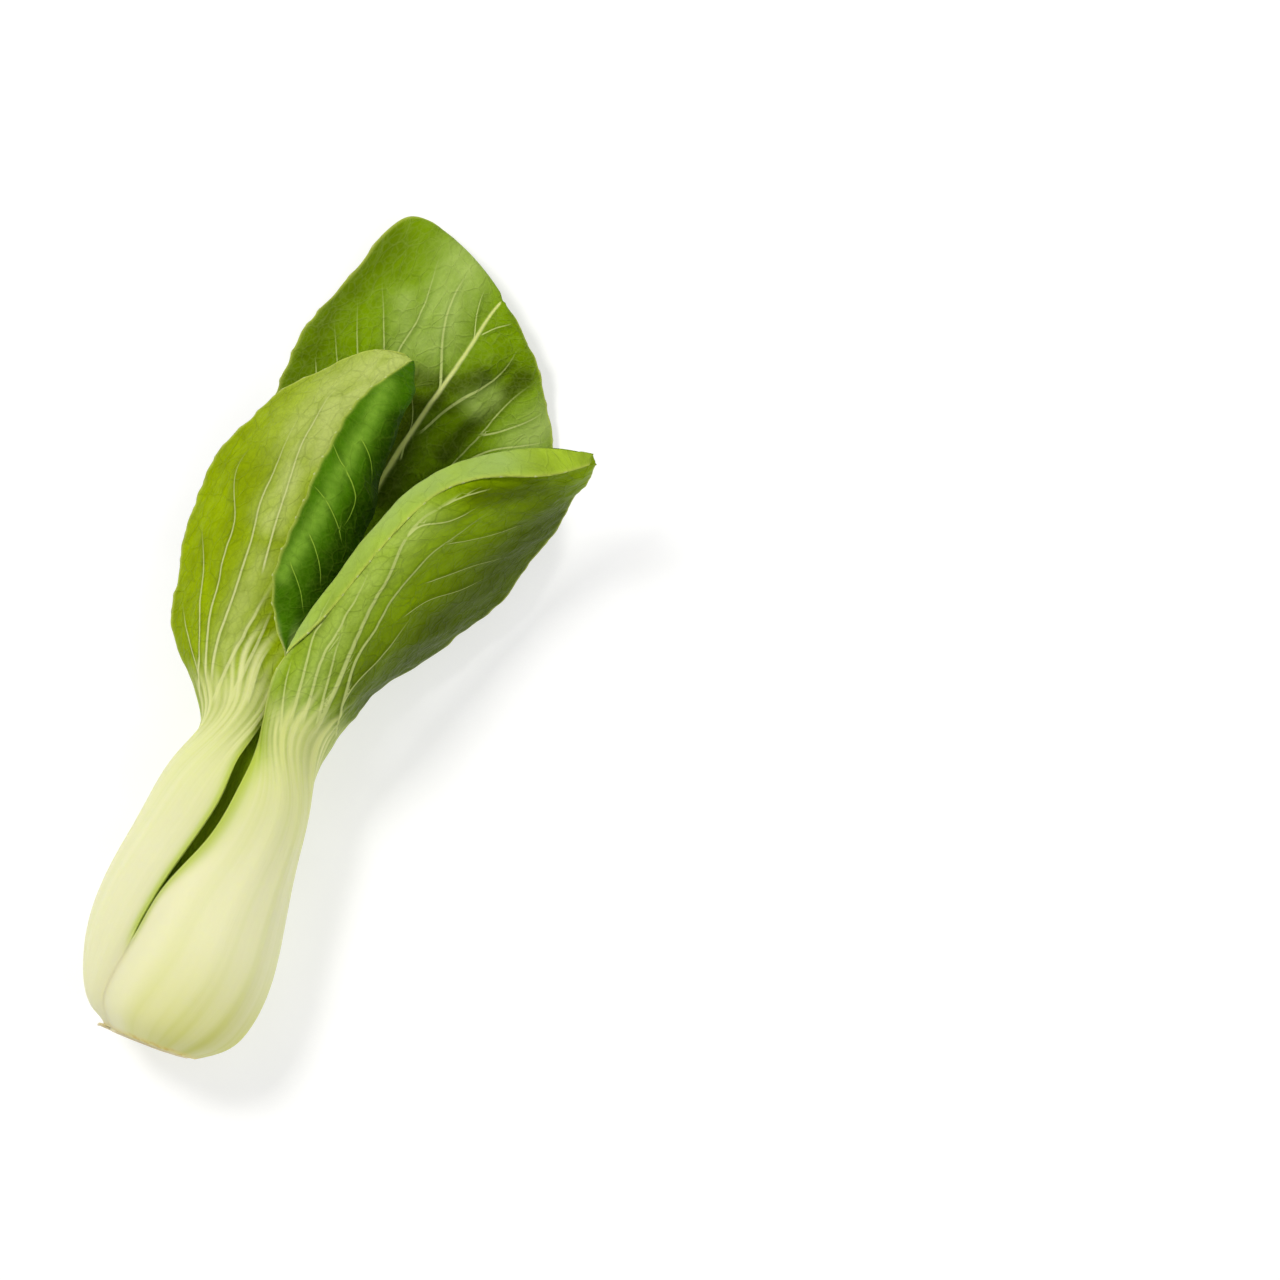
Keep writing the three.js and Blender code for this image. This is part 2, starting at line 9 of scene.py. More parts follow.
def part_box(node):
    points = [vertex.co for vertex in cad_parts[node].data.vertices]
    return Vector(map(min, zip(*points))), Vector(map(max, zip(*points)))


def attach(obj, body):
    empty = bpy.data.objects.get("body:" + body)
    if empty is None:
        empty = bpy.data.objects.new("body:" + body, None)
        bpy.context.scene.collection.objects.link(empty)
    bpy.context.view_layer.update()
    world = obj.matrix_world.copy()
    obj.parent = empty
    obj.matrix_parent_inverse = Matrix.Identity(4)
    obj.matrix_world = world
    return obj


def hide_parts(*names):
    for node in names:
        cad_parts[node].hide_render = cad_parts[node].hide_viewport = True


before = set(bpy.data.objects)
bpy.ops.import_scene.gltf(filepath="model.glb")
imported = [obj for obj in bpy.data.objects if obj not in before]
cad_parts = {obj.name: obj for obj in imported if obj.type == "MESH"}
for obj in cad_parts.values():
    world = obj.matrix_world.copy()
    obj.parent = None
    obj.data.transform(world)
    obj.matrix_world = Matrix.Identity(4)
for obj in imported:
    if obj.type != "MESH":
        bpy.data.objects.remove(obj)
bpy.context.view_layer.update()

MM = 0.001

# The photograph's flat layout: the cut stem lies at this pixel, and the head's axis leans from the picture's up.
STEM_PIXEL = (145, 1045)
MM_PER_PIXEL = 0.235
AXIS_LEAN = math.radians(20.7)
PICTURE_PIXELS = 1280

# Swollen base of the head, in millimetres, as in the solids.
BULB_AT = [0, 5, 12.5, 23.5, 36, 50, 64, 78]
BULB_RADIUS = [10.9, 17.4, 21.3, 22.9, 22.0, 19.9, 17.4, 16.0]
BULB_CENTRE_X = [0.2, 0.6, 0.4, -0.4, -1.1, -1.2, -0.7, -0.2]
BULB_CENTRE_Z = [20.2, 19.8, 19.4, 19.2, 20.0, 21.4, 23.1, 25.0]
BULB_FLATTENING = 0.9
BLADE_THICKNESS = 0.8
EDGE_THICKNESS = 1.2

# Each leaf as in the solids: rows round the bulb, then rows of points from left margin to right margin.
# A bulb row is [y, angle of left edge, angle of right edge, depth of middle, depth of edges, thickness].
# A blade row is [share of the half width that is still stalk, stalk thickness, ...points].
LEAVES = [
  {
    "name": "leaf_left",
    "facing": 1,
    "across": [-1, -0.5, 0, 0.3, 0.55, 0.78, 1],
    "bulb": [
      [0.6, 231, 142, 0, 0, 1.2],
      [6, 231, 140.2, 0, 0, 4.4],
      [13, 231, 130.5, 0, 0, 5.3],
      [23, 230, 120.2, 0, 0, 5.2],
      [37, 228, 112.5, 0, 0, 4.8],
      [52, 224, 103, 0, 0, 4.4],
      [66, 213, 96.5, 0, 0, 3.8],
    ],
    "blade": [
      [1, 3.2, [-16.6, 79, 23], [-14.4, 80.5, 31], [-9.6, 82, 35.5], [-6.3, 82.5, 36.4],
        [-3.2, 82.5, 36.2], [-1.4, 82.5, 35.6], [-0.3, 82, 34.6]],
      [0.45, 2.7, [-28.3, 92.5, 17], [-21.5, 93, 27], [-12.6, 94, 35.4], [-6.5, 95, 36.6],
        [-1.7, 94, 37.4], [-0.4, 94, 38.5], [0, 94.5, 40.2]],
      [0.22, 2.3, [-32.6, 105.5, 14], [-23, 106, 25.5], [-11, 106, 35.2], [-3, 106, 35.4], [3, 106, 37.6],
        [0, 106.5, 41.6], [-7.8, 107, 40.4]],
      [0.13, 2.0, [-35, 121, 12], [-23.5, 121, 25], [-8.8, 121, 35], [-1, 121, 34.6], [5.4, 121, 37.4],
        [0.5, 121, 42.4], [-10.4, 121, 40.8]],
      [0.09, 1.7, [-33.4, 137.5, 13], [-21.5, 138, 26], [-6, 138, 35.6], [0.2, 138, 35], [5.1, 137, 37.6],
        [0.5, 137, 42.4], [-9.6, 137, 41.2]],
      [0.06, 1.4, [-26.7, 152.3, 17], [-16.5, 153.5, 28], [-3.2, 154, 36], [0.7, 153, 36], [3.9, 152, 38],
        [0.5, 152, 42], [-8.1, 152, 41.6]],
      [0.04, 1.2, [-17, 164, 23], [-9.5, 165, 30.5], [-0.6, 166, 36.4], [2.2, 165.5, 37],
        [4.2, 164.5, 38.4], [2.4, 163, 41.2], [-5.2, 161.5, 41.4]],
      [0, 1, [-7.2, 171.9, 30], [-3, 171.8, 33], [0.9, 171.2, 36], [2.2, 170.4, 36.8], [3.3, 169, 37.8],
        [2.3, 168, 39.2], [-1.6, 167.3, 39.6]],
      [0, 1, [-0.4, 173, 35], [0.5, 173, 35.2], [1.5, 172.8, 35.6], [1.9, 172.6, 35.8], [2.2, 172.3, 36],
        [2, 171.9, 36.3], [1.4, 171.5, 36.4]],
    ],
  },
  {
    "name": "leaf_right",
    "facing": 1,
    "across": [-1, -0.72, -0.4, 0, 0.5, 1],
    "bulb": [
      [0.6, 138, -50, 0, 0, 1.2],
      [6, 137, -50, 0, 0, 4.4],
      [13, 128, -50, 0, 0, 5.3],
      [23, 118.2, -50, 0, 0, 5.2],
      [37, 110, -48, 0, 0, 5.0],
      [52, 94.5, -44, 0, 0, 4.6],
      [66, 89, -36, 0, 0, 4.0],
    ],
    "blade": [
      [1, 3.4, [-0.4, 79, 36.6], [0.6, 79, 38.6], [4, 79.5, 40.8], [9.5, 80, 39.4], [14.6, 80.5, 32.5],
        [16.4, 81, 23]],
      [0.5, 2.9, [-2, 93, 42.4], [-0.5, 92.6, 44.4], [4, 92, 46], [12.6, 91, 43.4], [17.2, 90.4, 34],
        [18.8, 90.4, 21]],
      [0.26, 2.5, [2.9, 105, 48.4], [0.8, 105.6, 45.8], [6.5, 104, 49], [15.6, 103, 46],
        [22.4, 102, 33.5], [25.8, 103, 17]],
      [0.16, 2.1, [8.4, 119.5, 52.2], [5, 121.7, 49], [10.5, 119.8, 51.6], [18.6, 119, 47],
        [29.6, 117, 32], [37, 119, 14]],
      [0.11, 1.8, [13.6, 134, 54], [9.9, 136.7, 50.6], [16, 134, 52.8], [25, 134.6, 47], [35, 132, 32],
        [43.6, 134.4, 15]],
      [0.08, 1.5, [20.6, 146.6, 54.2], [17.4, 149.6, 51], [23, 146.4, 52.6], [32.5, 146, 46.4],
        [41, 144.4, 33.5], [47.3, 147.6, 19.5]],
      [0.05, 1.3, [31, 153.8, 52.4], [28.6, 159.1, 49.4], [32, 154.6, 50.6], [39.6, 154.6, 45.6],
        [45.4, 153.6, 36.6], [49.4, 156.4, 27.5]],
      [0, 1, [42, 158.4, 48.8], [40, 164.7, 46.4], [42.2, 161, 47], [46, 160.6, 43.4],
        [48.8, 160.2, 38.6], [50.7, 161.7, 33.5]],
      [0, 1, [49.6, 164, 43], [49.4, 166.6, 42], [50, 166.2, 41.8], [50.5, 165.7, 41],
        [50.8, 165.2, 40.2], [51, 164.6, 39.4]],
    ],
  },
  {
    "name": "leaf_back",
    "facing": -1,
    "across": [-1, -0.5, 0, 0.25, 0.42, 0.7, 1],
    "bulb": [
      [0.6, 238, 302, 0, 0, 1.2],
      [6, 226, 314, 0, 4.3, 4.0],
      [13, 215, 323, 0, 5.7, 4.2],
      [23, 213, 325, 0, 5.9, 4.6],
      [37, 213, 325, 0, 5.9, 4.6],
      [52, 217, 322, 0, 5.7, 4.2],
      [66, 223, 318, 0.6, 5.0, 3.6],
    ],
    "blade": [
      [1, 3.1, [-11.5, 82, 12.6], [-6.5, 82, 10], [-1.2, 82, 9.2], [2, 82, 9.5], [4.5, 82, 10],
        [8.2, 82, 11], [12, 82, 13]],
      [0.3, 2.6, [-19, 105, 6.5], [-10, 105, 6], [0.3, 105, 6.4], [4.8, 105, 7.8], [8.4, 105, 7],
        [14, 105, 7], [21, 104, 8]],
      [0.1, 2.1, [-25, 130, 1.6], [-12, 131, 4.6], [3.4, 131, 5.2], [8.6, 131, 8], [12.7, 130, 5.6],
        [21, 129, 6.2], [33, 127, 2.6]],
      [0.06, 1.8, [-26.5, 151, -0.4], [-11, 152, 5], [6.5, 151, 5.8], [12.6, 151.5, 9], [17, 151.5, 5.6],
        [27, 150, 6.8], [39.8, 149, -0.4]],
      [0.045, 1.5, [-26, 168, 1.4], [-8.5, 169, 7], [10.2, 168, 7.2], [16.6, 168, 9.6], [21.4, 168, 6.6],
        [30, 167.6, 7.6], [38.6, 167.4, 2.6]],
      [0.04, 1.3, [-22.6, 180, 2.8], [-5.6, 181, 8.6], [12.6, 178, 8.8], [18.2, 178, 10.2],
        [22, 178, 8.2], [27.6, 177.4, 8.6], [32.6, 177.4, 5.4]],
      [0.035, 1.2, [-17, 194.6, 4.6], [-2.6, 191, 10], [14.1, 185.6, 10], [18.7, 185, 10.8],
        [21.4, 184.8, 9.6], [24.6, 184.4, 9.2], [27.6, 184, 7.8]],
      [0, 1, [-9.7, 205.2, 6.8], [3, 198.2, 10.8], [15, 190, 10.4], [18.3, 189.2, 10.8],
        [19.9, 189, 10.2], [21.8, 188.6, 9.8], [23.6, 188.2, 9]],
      [0, 1, [3.6, 202, 8.6], [9.4, 197.8, 10.4], [15.7, 192.4, 10.4], [17.6, 191.6, 10.4],
        [18.6, 191.3, 10.1], [19.8, 190.9, 9.8], [20.8, 190.6, 9.4]],
      [0, 1, [13, 196.4, 9.2], [14.8, 195, 9.8], [16.1, 193.8, 10], [16.6, 193.4, 10], [16.9, 193.1, 9.9],
        [17.2, 192.8, 9.8], [17.6, 192.4, 9.6]],
    ],
  },
  {
    "name": "leaf_inner_top",
    "facing": 1,
    "across": [-1, -0.5, 0, 0.5, 1],
    "bulb": [
      [8, 134, 66, 6.4, 6.6, 1.6],
      [14, 138, 62, 6.5, 6.8, 2.2],
      [24, 140, 60, 6.4, 6.8, 2.6],
      [42, 136, 58, 6.4, 6.8, 2.6],
      [60, 130, 60, 6.6, 6.8, 2.4],
      [72, 124, 64, 6.8, 7.0, 2.0],
    ],
    "blade": [
      [0.6, 1.8, [-9, 84, 24], [-5.4, 84, 28], [-1.6, 84, 29.6], [2.4, 84, 28.6], [6, 84, 25]],
      [0.22, 1.5, [-13, 97, 19.5], [-8, 97, 26], [-2, 97, 28.4], [4.2, 97, 26], [8.6, 96, 19.5]],
      [0.1, 1.2, [-12.4, 110, 20.5], [-8, 111, 25.6], [-3, 111, 27.6], [2.2, 110, 25.6], [6, 109, 20.5]],
      [0, 1, [-5.4, 119, 24.6], [-4.8, 119.4, 25], [-4, 119.6, 25.2], [-3.2, 119.4, 25],
        [-2.6, 119, 24.6]],
    ],
  },
  {
    "name": "leaf_inner_left",
    "facing": -1,
    "across": [-1, -0.5, 0, 0.5, 1],
    "bulb": [
      [9.2, 168, 246, 8.8, 8.8, 1.5],
      [14, 164, 248, 8.8, 8.8, 2.4],
      [24, 162, 250, 8.8, 8.8, 2.8],
      [42, 164, 250, 8.8, 8.8, 2.8],
      [60, 172, 252, 8.6, 8.6, 2.4],
    ],
    "blade": [
      [1, 2.2, [-11.6, 82, 22], [-10.6, 82, 18.6], [-7.6, 82, 16.4], [-4.2, 82, 15.6], [-0.8, 82, 16]],
      [0.4, 1.8, [-23.4, 104, 13.6], [-17, 105, 13], [-10, 105, 12.6], [-4, 105, 12.6], [2, 105, 14]],
      [0.16, 1.4, [-27.6, 130, 9.6], [-20, 130, 11.8], [-11, 130, 12.4], [-3, 130, 12.4], [5, 129, 13.6]],
      [0.08, 1.2, [-22, 147, 11.4], [-16.5, 149, 12.8], [-10.5, 149, 13.6], [-4.5, 148, 13.4],
        [0.6, 145, 13.6]],
      [0, 1, [-11.8, 157, 14], [-11, 157.3, 14.1], [-10, 157.4, 14.2], [-9.2, 157.2, 14.1],
        [-8.6, 156.8, 14]],
    ],
  },
  {
    "name": "leaf_inner_right",
    "facing": -1,
    "across": [-1, -0.5, 0, 0.5, 1],
    "bulb": [
      [9.2, 292, 372, 8.8, 8.8, 1.5],
      [14, 290, 376, 8.8, 8.8, 2.4],
      [24, 290, 378, 8.8, 8.8, 2.8],
      [42, 290, 376, 8.8, 8.8, 2.8],
      [60, 290, 366, 8.6, 8.6, 2.4],
    ],
    "blade": [
      [1, 2.2, [2, 82, 15.8], [4.8, 82, 15.6], [7.8, 82, 16.4], [9.8, 82, 18.6], [10.6, 82, 21.4]],
      [0.4, 1.8, [4.6, 106, 13.6], [10, 105, 12.8], [15, 104, 13], [18.4, 103, 13.8], [21, 102, 15]],
      [0.16, 1.4, [12, 131, 13.6], [19, 130, 13.2], [26, 128.5, 13.4], [31.5, 127, 13.2],
        [36.4, 125.5, 12]],
      [0.08, 1.2, [21.4, 146.6, 14.4], [26.4, 146.6, 14.8], [32.4, 145, 15.6], [37, 143.4, 15],
        [41, 141.6, 13.4]],
      [0, 1, [36.4, 154.8, 16.4], [37.2, 154.8, 16.5], [38, 154.5, 16.5], [38.6, 153.9, 16.4],
        [39, 153.2, 16.3]],
    ],
  },
  {
    "name": "leaf_heart",
    "facing": -1,
    "across": [-1, -0.5, 0, 0.5, 1],
    "bulb": [],
    "blade": [
      [1, 1.8, [-3.4, 12.5, 21], [-2.5, 12.5, 18.6], [0, 12.5, 17.6], [2.5, 12.5, 18.6], [3.4, 12.5, 21]],
      [1, 2.0, [-4.8, 30, 22], [-3.8, 30, 18.8], [-0.6, 30, 17.4], [2.6, 30, 18.8], [3.6, 30, 22]],
      [1, 1.8, [-5, 50, 24], [-4, 50, 20.6], [-0.8, 50, 19.2], [2.4, 50, 20.6], [3.4, 50, 24]],
      [0.4, 1.5, [-5.6, 64, 25], [-4, 64, 22], [-0.4, 64, 20.6], [3.2, 64, 22], [4.8, 64, 25]],
      [0.14, 1.2, [-5, 77, 23.6], [-3.4, 77, 21.6], [0, 77, 20.8], [3.4, 77, 21.6], [5, 77, 23.6]],
      [0, 1, [-1, 87, 22.2], [-0.5, 87.3, 22.1], [0, 87.4, 22], [0.5, 87.3, 22.1], [1, 87, 22.2]],
    ],
  },
]

# Vein routes in pixels of the photograph, each from the stalk outwards.
# Each is (half width at its start and at its end in millimetres, side of the leaf that it lies on, points).
LEFT_FACE = (-1.0, 0.34)
LEFT_LAPEL = (0.5, 1.0)
WHOLE = (-1.0, 1.0)
VEINS = {
    "leaf_left": [
        (0.7, 0.25, LEFT_FACE, [(200, 703), (197, 668), (186, 632), (180, 600)]),
        (0.8, 0.25, LEFT_FACE, [(198, 693), (200, 628), (201, 580), (202, 545), (199, 515)]),
        (0.9, 0.25, LEFT_FACE, [(207, 690), (210, 620), (225, 556), (234, 509), (237, 466), (257, 437)]),
        (1.0, 0.3, LEFT_FACE, [(212, 690), (214, 664), (237, 588), (255, 527), (268, 484), (286, 444), (304, 401)]),
        (1.3, 0.5, LEFT_FACE, [(212, 706), (228, 668), (244, 638), (258, 612), (272, 588)]),
        (1.3, 0.5, LEFT_FACE, [(229, 706), (249, 664), (264, 632), (275, 606)]),
        (1.2, 0.5, LEFT_FACE, [(249, 704), (267, 665), (278, 646)]),
        (0.6, 0.3, LEFT_FACE, [(262, 578), (272, 540), (284, 500), (299, 455), (328, 400), (350, 378)]),
        (0.28, 0.18, LEFT_LAPEL, [(347, 470), (356, 492), (354, 512), (343, 530)]),
        (0.24, 0.16, LEFT_LAPEL, [(363, 440), (372, 462), (371, 484)]),
        (0.24, 0.16, LEFT_LAPEL, [(328, 500), (339, 524), (343, 548)]),
        (0.24, 0.16, LEFT_LAPEL, [(312, 533), (321, 560), (322, 590)]),
        (0.24, 0.16, LEFT_LAPEL, [(293, 562), (303, 590), (306, 616)]),
        (0.22, 0.15, LEFT_LAPEL, [(347, 470), (338, 452), (332, 440)]),
        (0.22, 0.15, LEFT_LAPEL, [(328, 500), (317, 486)]),
    ],
    "leaf_right": [
        (1.5, 0.4, WHOLE, [(312, 745), (323, 720), (338, 688), (353, 653), (367, 622), (378, 600), (392, 576),
                           (406, 544), (424, 522), (440, 510), (456, 498), (478, 487)]),
        (0.5, 0.25, WHOLE, [(440, 510), (462, 500), (496, 489)]),
        (1.0, 0.3, WHOLE, [(335, 735), (350, 684), (363, 650), (376, 632), (390, 606), (410, 580), (436, 552),
                           (456, 538), (480, 520), (508, 502)]),
        (0.4, 0.25, WHOLE, [(408, 541), (424, 527), (444, 524), (470, 514), (484, 506)]),
        (0.9, 0.3, WHOLE, [(318, 728), (325, 700), (333, 672), (340, 647), (347, 628)]),
        (0.9, 0.3, WHOLE, [(303, 728), (312, 700), (318, 680), (327, 655), (340, 635), (348, 618), (362, 594),
                           (376, 560)]),
        (0.9, 0.3, WHOLE, [(291, 728), (297, 708), (303, 687), (312, 655), (318, 633), (328, 613), (344, 584)]),
        (0.7, 0.3, WHOLE, [(281, 735), (284, 720), (287, 693), (291, 673), (296, 655)]),
        (0.7, 0.3, WHOLE, [(335, 742), (345, 703), (363, 677), (380, 660), (397, 638), (420, 610)]),
        (0.22, 0.15, WHOLE, [(404, 618), (430, 600), (458, 590), (490, 576)]),
        (0.22, 0.15, WHOLE, [(426, 584), (470, 568), (510, 556)]),
        (0.22, 0.15, WHOLE, [(446, 545), (490, 536), (534, 522)]),
    ],
    "leaf_back": [
        (0.8, 0.3, WHOLE, [(440, 392), (440, 367), (444, 318), (458, 283), (473, 262)]),
        (0.7, 0.25, WHOLE, [(376, 480), (384, 400), (395, 351), (421, 306), (430, 281), (437, 258), (441, 239)]),
        (0.6, 0.25, WHOLE, [(366, 480), (381, 400), (382, 348), (381, 269)]),
        (0.6, 0.25, WHOLE, [(350, 500), (356, 400), (356, 345), (355, 288)]),
        (0.5, 0.25, WHOLE, [(335, 500), (334, 400), (334, 343), (332, 312)]),
        (0.5, 0.25, WHOLE, [(315, 420), (314, 369), (312, 350)]),
        (0.8, 0.35, WHOLE, [(418, 434), (438, 416), (465, 394), (496, 373), (521, 341)]),
        (0.7, 0.3, WHOLE, [(408, 510), (446, 466), (474, 438), (502, 407), (536, 376)]),
        (0.5, 0.25, WHOLE, [(479, 434), (505, 428), (544, 408)]),
        (0.6, 0.25, WHOLE, [(452, 470), (485, 451), (511, 445), (550, 437)]),
        (0.35, 0.2, WHOLE, [(474, 338), (476, 310), (484, 284)]),
        (0.35, 0.2, WHOLE, [(480, 333), (490, 328), (512, 320)]),
        (0.4, 0.2, WHOLE, [(400, 462), (409, 434), (411, 405), (408, 388)]),
    ],
}


# Side veins of the leaves that the photograph doesn't show: starts along the midrib, as shares of the blade.
HIDDEN_VEIN_STARTS = [0.02, 0.1, 0.2, 0.32, 0.45, 0.6, 0.75]
HIDDEN_VEIN_REACH = 0.24
HIDDEN_VEIN_WIDTHS = (0.8, 0.3)
VEIN_SAMPLE_STEP = 0.4
NO_VEIN = 9.0

# Half widths of the midrib at the neck and at mid blade, and how pale it is, for each leaf.
MIDRIBS = {
    "leaf_left": (1.2, 0.7, 0.35),
    "leaf_right": (1.0, 0.4, 0.15),
    "leaf_back": (2.4, 1.15, 1.0),
}
OTHER_MIDRIB = (2.2, 0.6, 0.8)

# Paler parts of the blades as bands in pixels, partly the waxy coating's own paler green and partly painted sheen where
# light glances off it: (reach in millimetres, strength, sides, points).
LEFT_EDGE_LAPEL = (-1.0, -0.7)
RIGHT_FACE = (-0.75, 1.0)
WAX_AND_SHEEN_BANDS = {
    "leaf_left": [
        (8.0, 1.0, LEFT_FACE, [(395, 362), (350, 392), (312, 440)]),
        (4.0, 1.0, LEFT_FACE, [(295, 470), (272, 520)]),
        (4.0, 0.6, LEFT_FACE, [(262, 560), (240, 610), (224, 650)]),
        (2.0, 0.9, LEFT_LAPEL, [(388, 390), (347, 468), (315, 527), (286, 576)]),
    ],
    "leaf_right": [
        (5.5, 1.0, RIGHT_FACE, [(300, 712), (322, 660), (345, 618), (378, 568), (425, 516)]),
        (6.0, 1.0, LEFT_EDGE_LAPEL, [(280, 660), (330, 570), (390, 510), (440, 480), (500, 462)]),
    ],
    "leaf_back": [
        (6.5, 1.0, WHOLE, [(466, 258), (450, 292), (430, 335)]),
        (4.0, 0.7, WHOLE, [(405, 300), (402, 345)]),
        (5.0, 0.9, WHOLE, [(520, 440), (545, 418)]),
        (3.0, 0.8, WHOLE, [(474, 402), (488, 394)]),
    ],
}

# Painted shade: darker green where the blades lie in shadow under other leaves and folds, in hollows and on slopes
# turned from the light, given in the same way.
PAINTED_SHADE_BANDS = {
    "leaf_left": [
        (4.0, 1.0, LEFT_LAPEL, [(398, 425), (375, 485), (342, 550), (312, 615)]),
        (3.0, 0.3, LEFT_FACE, [(160, 640), (166, 570), (184, 500), (215, 440)]),
        (2.5, 0.3, LEFT_FACE, [(284, 540), (262, 600)]),
    ],
    "leaf_right": [
        (11.0, 1.0, RIGHT_FACE, [(385, 705), (440, 650), (500, 590), (555, 530)]),
        (3.5, 0.7, RIGHT_FACE, [(480, 498), (545, 492)]),
        (1.6, 0.7, RIGHT_FACE, [(322, 636), (332, 606), (344, 596)]),
        (1.4, 0.7, RIGHT_FACE, [(366, 576), (377, 548)]),
    ],
    "leaf_back": [
        (3.4, 1.0, WHOLE, [(412, 372), (434, 378), (459, 384), (480, 376)]),
        (3.5, 1.0, WHOLE, [(410, 400), (428, 402), (438, 394)]),
        (2.8, 1.0, WHOLE, [(440, 452), (470, 422), (506, 392), (522, 376)]),
        (2.0, 0.6, WHOLE, [(450, 408), (484, 384), (512, 362)]),
        (7.5, 0.6, WHOLE, [(280, 400), (312, 335), (350, 280), (395, 240)]),
        (5.0, 1.0, WHOLE, [(412, 415), (384, 492)]),
        (3.5, 0.7, WHOLE, [(398, 500), (436, 470)]),
    ],
}


def spline_matrix(knots, at):
    """Rows that turn values at the knots into the natural cubic curve's values at the given places."""
    knots = np.asarray(knots, float)
    at = np.asarray(at, float)
    count = len(knots)
    spans = np.diff(knots)
    system = np.eye(count)
    turns = np.zeros((count, count))
    for i in range(1, count - 1):
        system[i, i - 1:i + 2] = spans[i - 1], 2 * (spans[i - 1] + spans[i]), spans[i]
        turns[i, i - 1:i + 2] = 6 / spans[i - 1], -6 / spans[i - 1] - 6 / spans[i], 6 / spans[i]
    bends = np.linalg.solve(system, turns)
    k = np.clip(np.searchsorted(knots, at, side="left") - 1, 0, count - 2)
    span = spans[k]
    a = ((knots[k + 1] - at) / span)[:, None]
    b = 1 - a
    unit = np.eye(count)
    curved = (a ** 3 - a) * bends[k] + (b ** 3 - b) * bends[k + 1]
    return a * unit[k] + b * unit[k + 1] + curved * (span ** 2)[:, None] / 6


def curve(knots, values, at):
    return spline_matrix(knots, np.atleast_1d(at)) @ np.asarray(values, float)


def smooth_step(value, low, high):
    t = np.clip((value - low) / (high - low), 0, 1)
    return t * t * (3 - 2 * t)


def hump(value, reach):
    return np.exp(-(value / reach) ** 2)


def on_bulb(y, degrees, depth):
    angle = math.radians(degrees)
    radius = curve(BULB_AT, BULB_RADIUS, y)[0] - depth
    x = curve(BULB_AT, BULB_CENTRE_X, y)[0] + radius * math.cos(angle)
    z = curve(BULB_AT, BULB_CENTRE_Z, y)[0] + radius * BULB_FLATTENING * math.sin(angle)
    return [x, y, z]


def leaf_rows(leaf):
    """Points, stalk shares and stalk thicknesses of the leaf's rows, and the mean length up to each row."""
    rows = []
    for y, left, right, middle_depth, edge_depth, _ in leaf["bulb"]:
        row = []
        for v in leaf["across"]:
            depth = middle_depth + (edge_depth - middle_depth) * v * v
            row.append(on_bulb(y, left + (right - left) * (v + 1) / 2, depth))
        rows.append(row)
    rows += [row[2:] for row in leaf["blade"]]
    rows = np.array(rows, float)
    shares = [1.0] * len(leaf["bulb"]) + [row[0] for row in leaf["blade"]]
    thicknesses = [row[5] for row in leaf["bulb"]] + [row[1] for row in leaf["blade"]]
    steps = np.linalg.norm(np.diff(rows, axis=0), axis=2).mean(axis=1)
    return rows, shares, thicknesses, np.concatenate([[0], np.cumsum(steps)])


def run_lengths(points):
    return np.concatenate([[0], np.cumsum(np.linalg.norm(np.diff(points, axis=0), axis=1))])


def unit_length(vectors):
    return vectors / np.maximum(np.linalg.norm(vectors, axis=-1, keepdims=True), 1e-9)


class Sheet:
    """The smooth outer skin of one leaf on a fine grid, with its directions and its places in the leaf."""

    def __init__(self, leaf, blade_step, stalk_step):
        rows, shares, thicknesses, lengths = leaf_rows(leaf)
        self.facing = leaf["facing"]
        self.neck = lengths[len(shares) - 1 - shares[::-1].index(1)]
        self.end = lengths[-1]
        stalk_count = int(self.neck / stalk_step)
        blade_count = int((self.end - self.neck) / blade_step)
        self.along = np.concatenate([
            np.linspace(0, self.neck, stalk_count, endpoint=False),
            np.linspace(self.neck, self.end, blade_count)])
        dense = np.linspace(-1, 1, 600)
        widest = spline_matrix(lengths, [self.neck + 0.45 * (self.end - self.neck)])
        line = np.einsum("ia,jb,abk->ijk", widest, spline_matrix(leaf["across"], dense), rows)[0]
        spread = run_lengths(line)
        columns = int(spread[-1] / blade_step) | 1
        self.sideways = np.interp(np.linspace(0, spread[-1], columns), spread, dense)
        self.points = np.einsum("ia,jb,abk->ijk", spline_matrix(lengths, self.along),
                                spline_matrix(leaf["across"], self.sideways), rows)
        along = np.gradient(self.points, self.along, axis=0)
        across = np.gradient(self.points, self.sideways, axis=1)
        self.inward = unit_length(np.cross(along, across) * self.facing)
        self.across = unit_length(across)
        steps = np.linalg.norm(np.diff(self.points, axis=1), axis=2)
        run = np.concatenate([np.zeros((len(self.along), 1)), np.cumsum(steps, axis=1)], axis=1)
        middle = np.array([np.interp(0, self.sideways, line) for line in run])[:, None]
        self.lateral = run - middle
        self.from_margin = np.minimum(run, run[:, -1:] - run)
        self.half_width = np.where(self.sideways < 0, middle, run[:, -1:] - middle)
        self.share = np.interp(self.along, lengths, shares)[:, None]
        self.thickness = np.interp(self.along, lengths, thicknesses)[:, None]
        self.u = self.along[:, None] + 0 * self.sideways
        self.v = self.sideways + 0 * self.u


def picture_to_head(pixel):
    """Head coordinates in millimetres of a pixel of the photograph."""
    right = (pixel[0] - STEM_PIXEL[0]) * MM_PER_PIXEL
    up = (STEM_PIXEL[1] - pixel[1]) * MM_PER_PIXEL
    x = right * math.cos(AXIS_LEAN) - up * math.sin(AXIS_LEAN)
    y = right * math.sin(AXIS_LEAN) + up * math.cos(AXIS_LEAN)
    return x, y


def nearest_tree(points):
    tree = KDTree(len(points))
    for i, point in enumerate(points):
        tree.insert(point, i)
    tree.balance()
    return tree


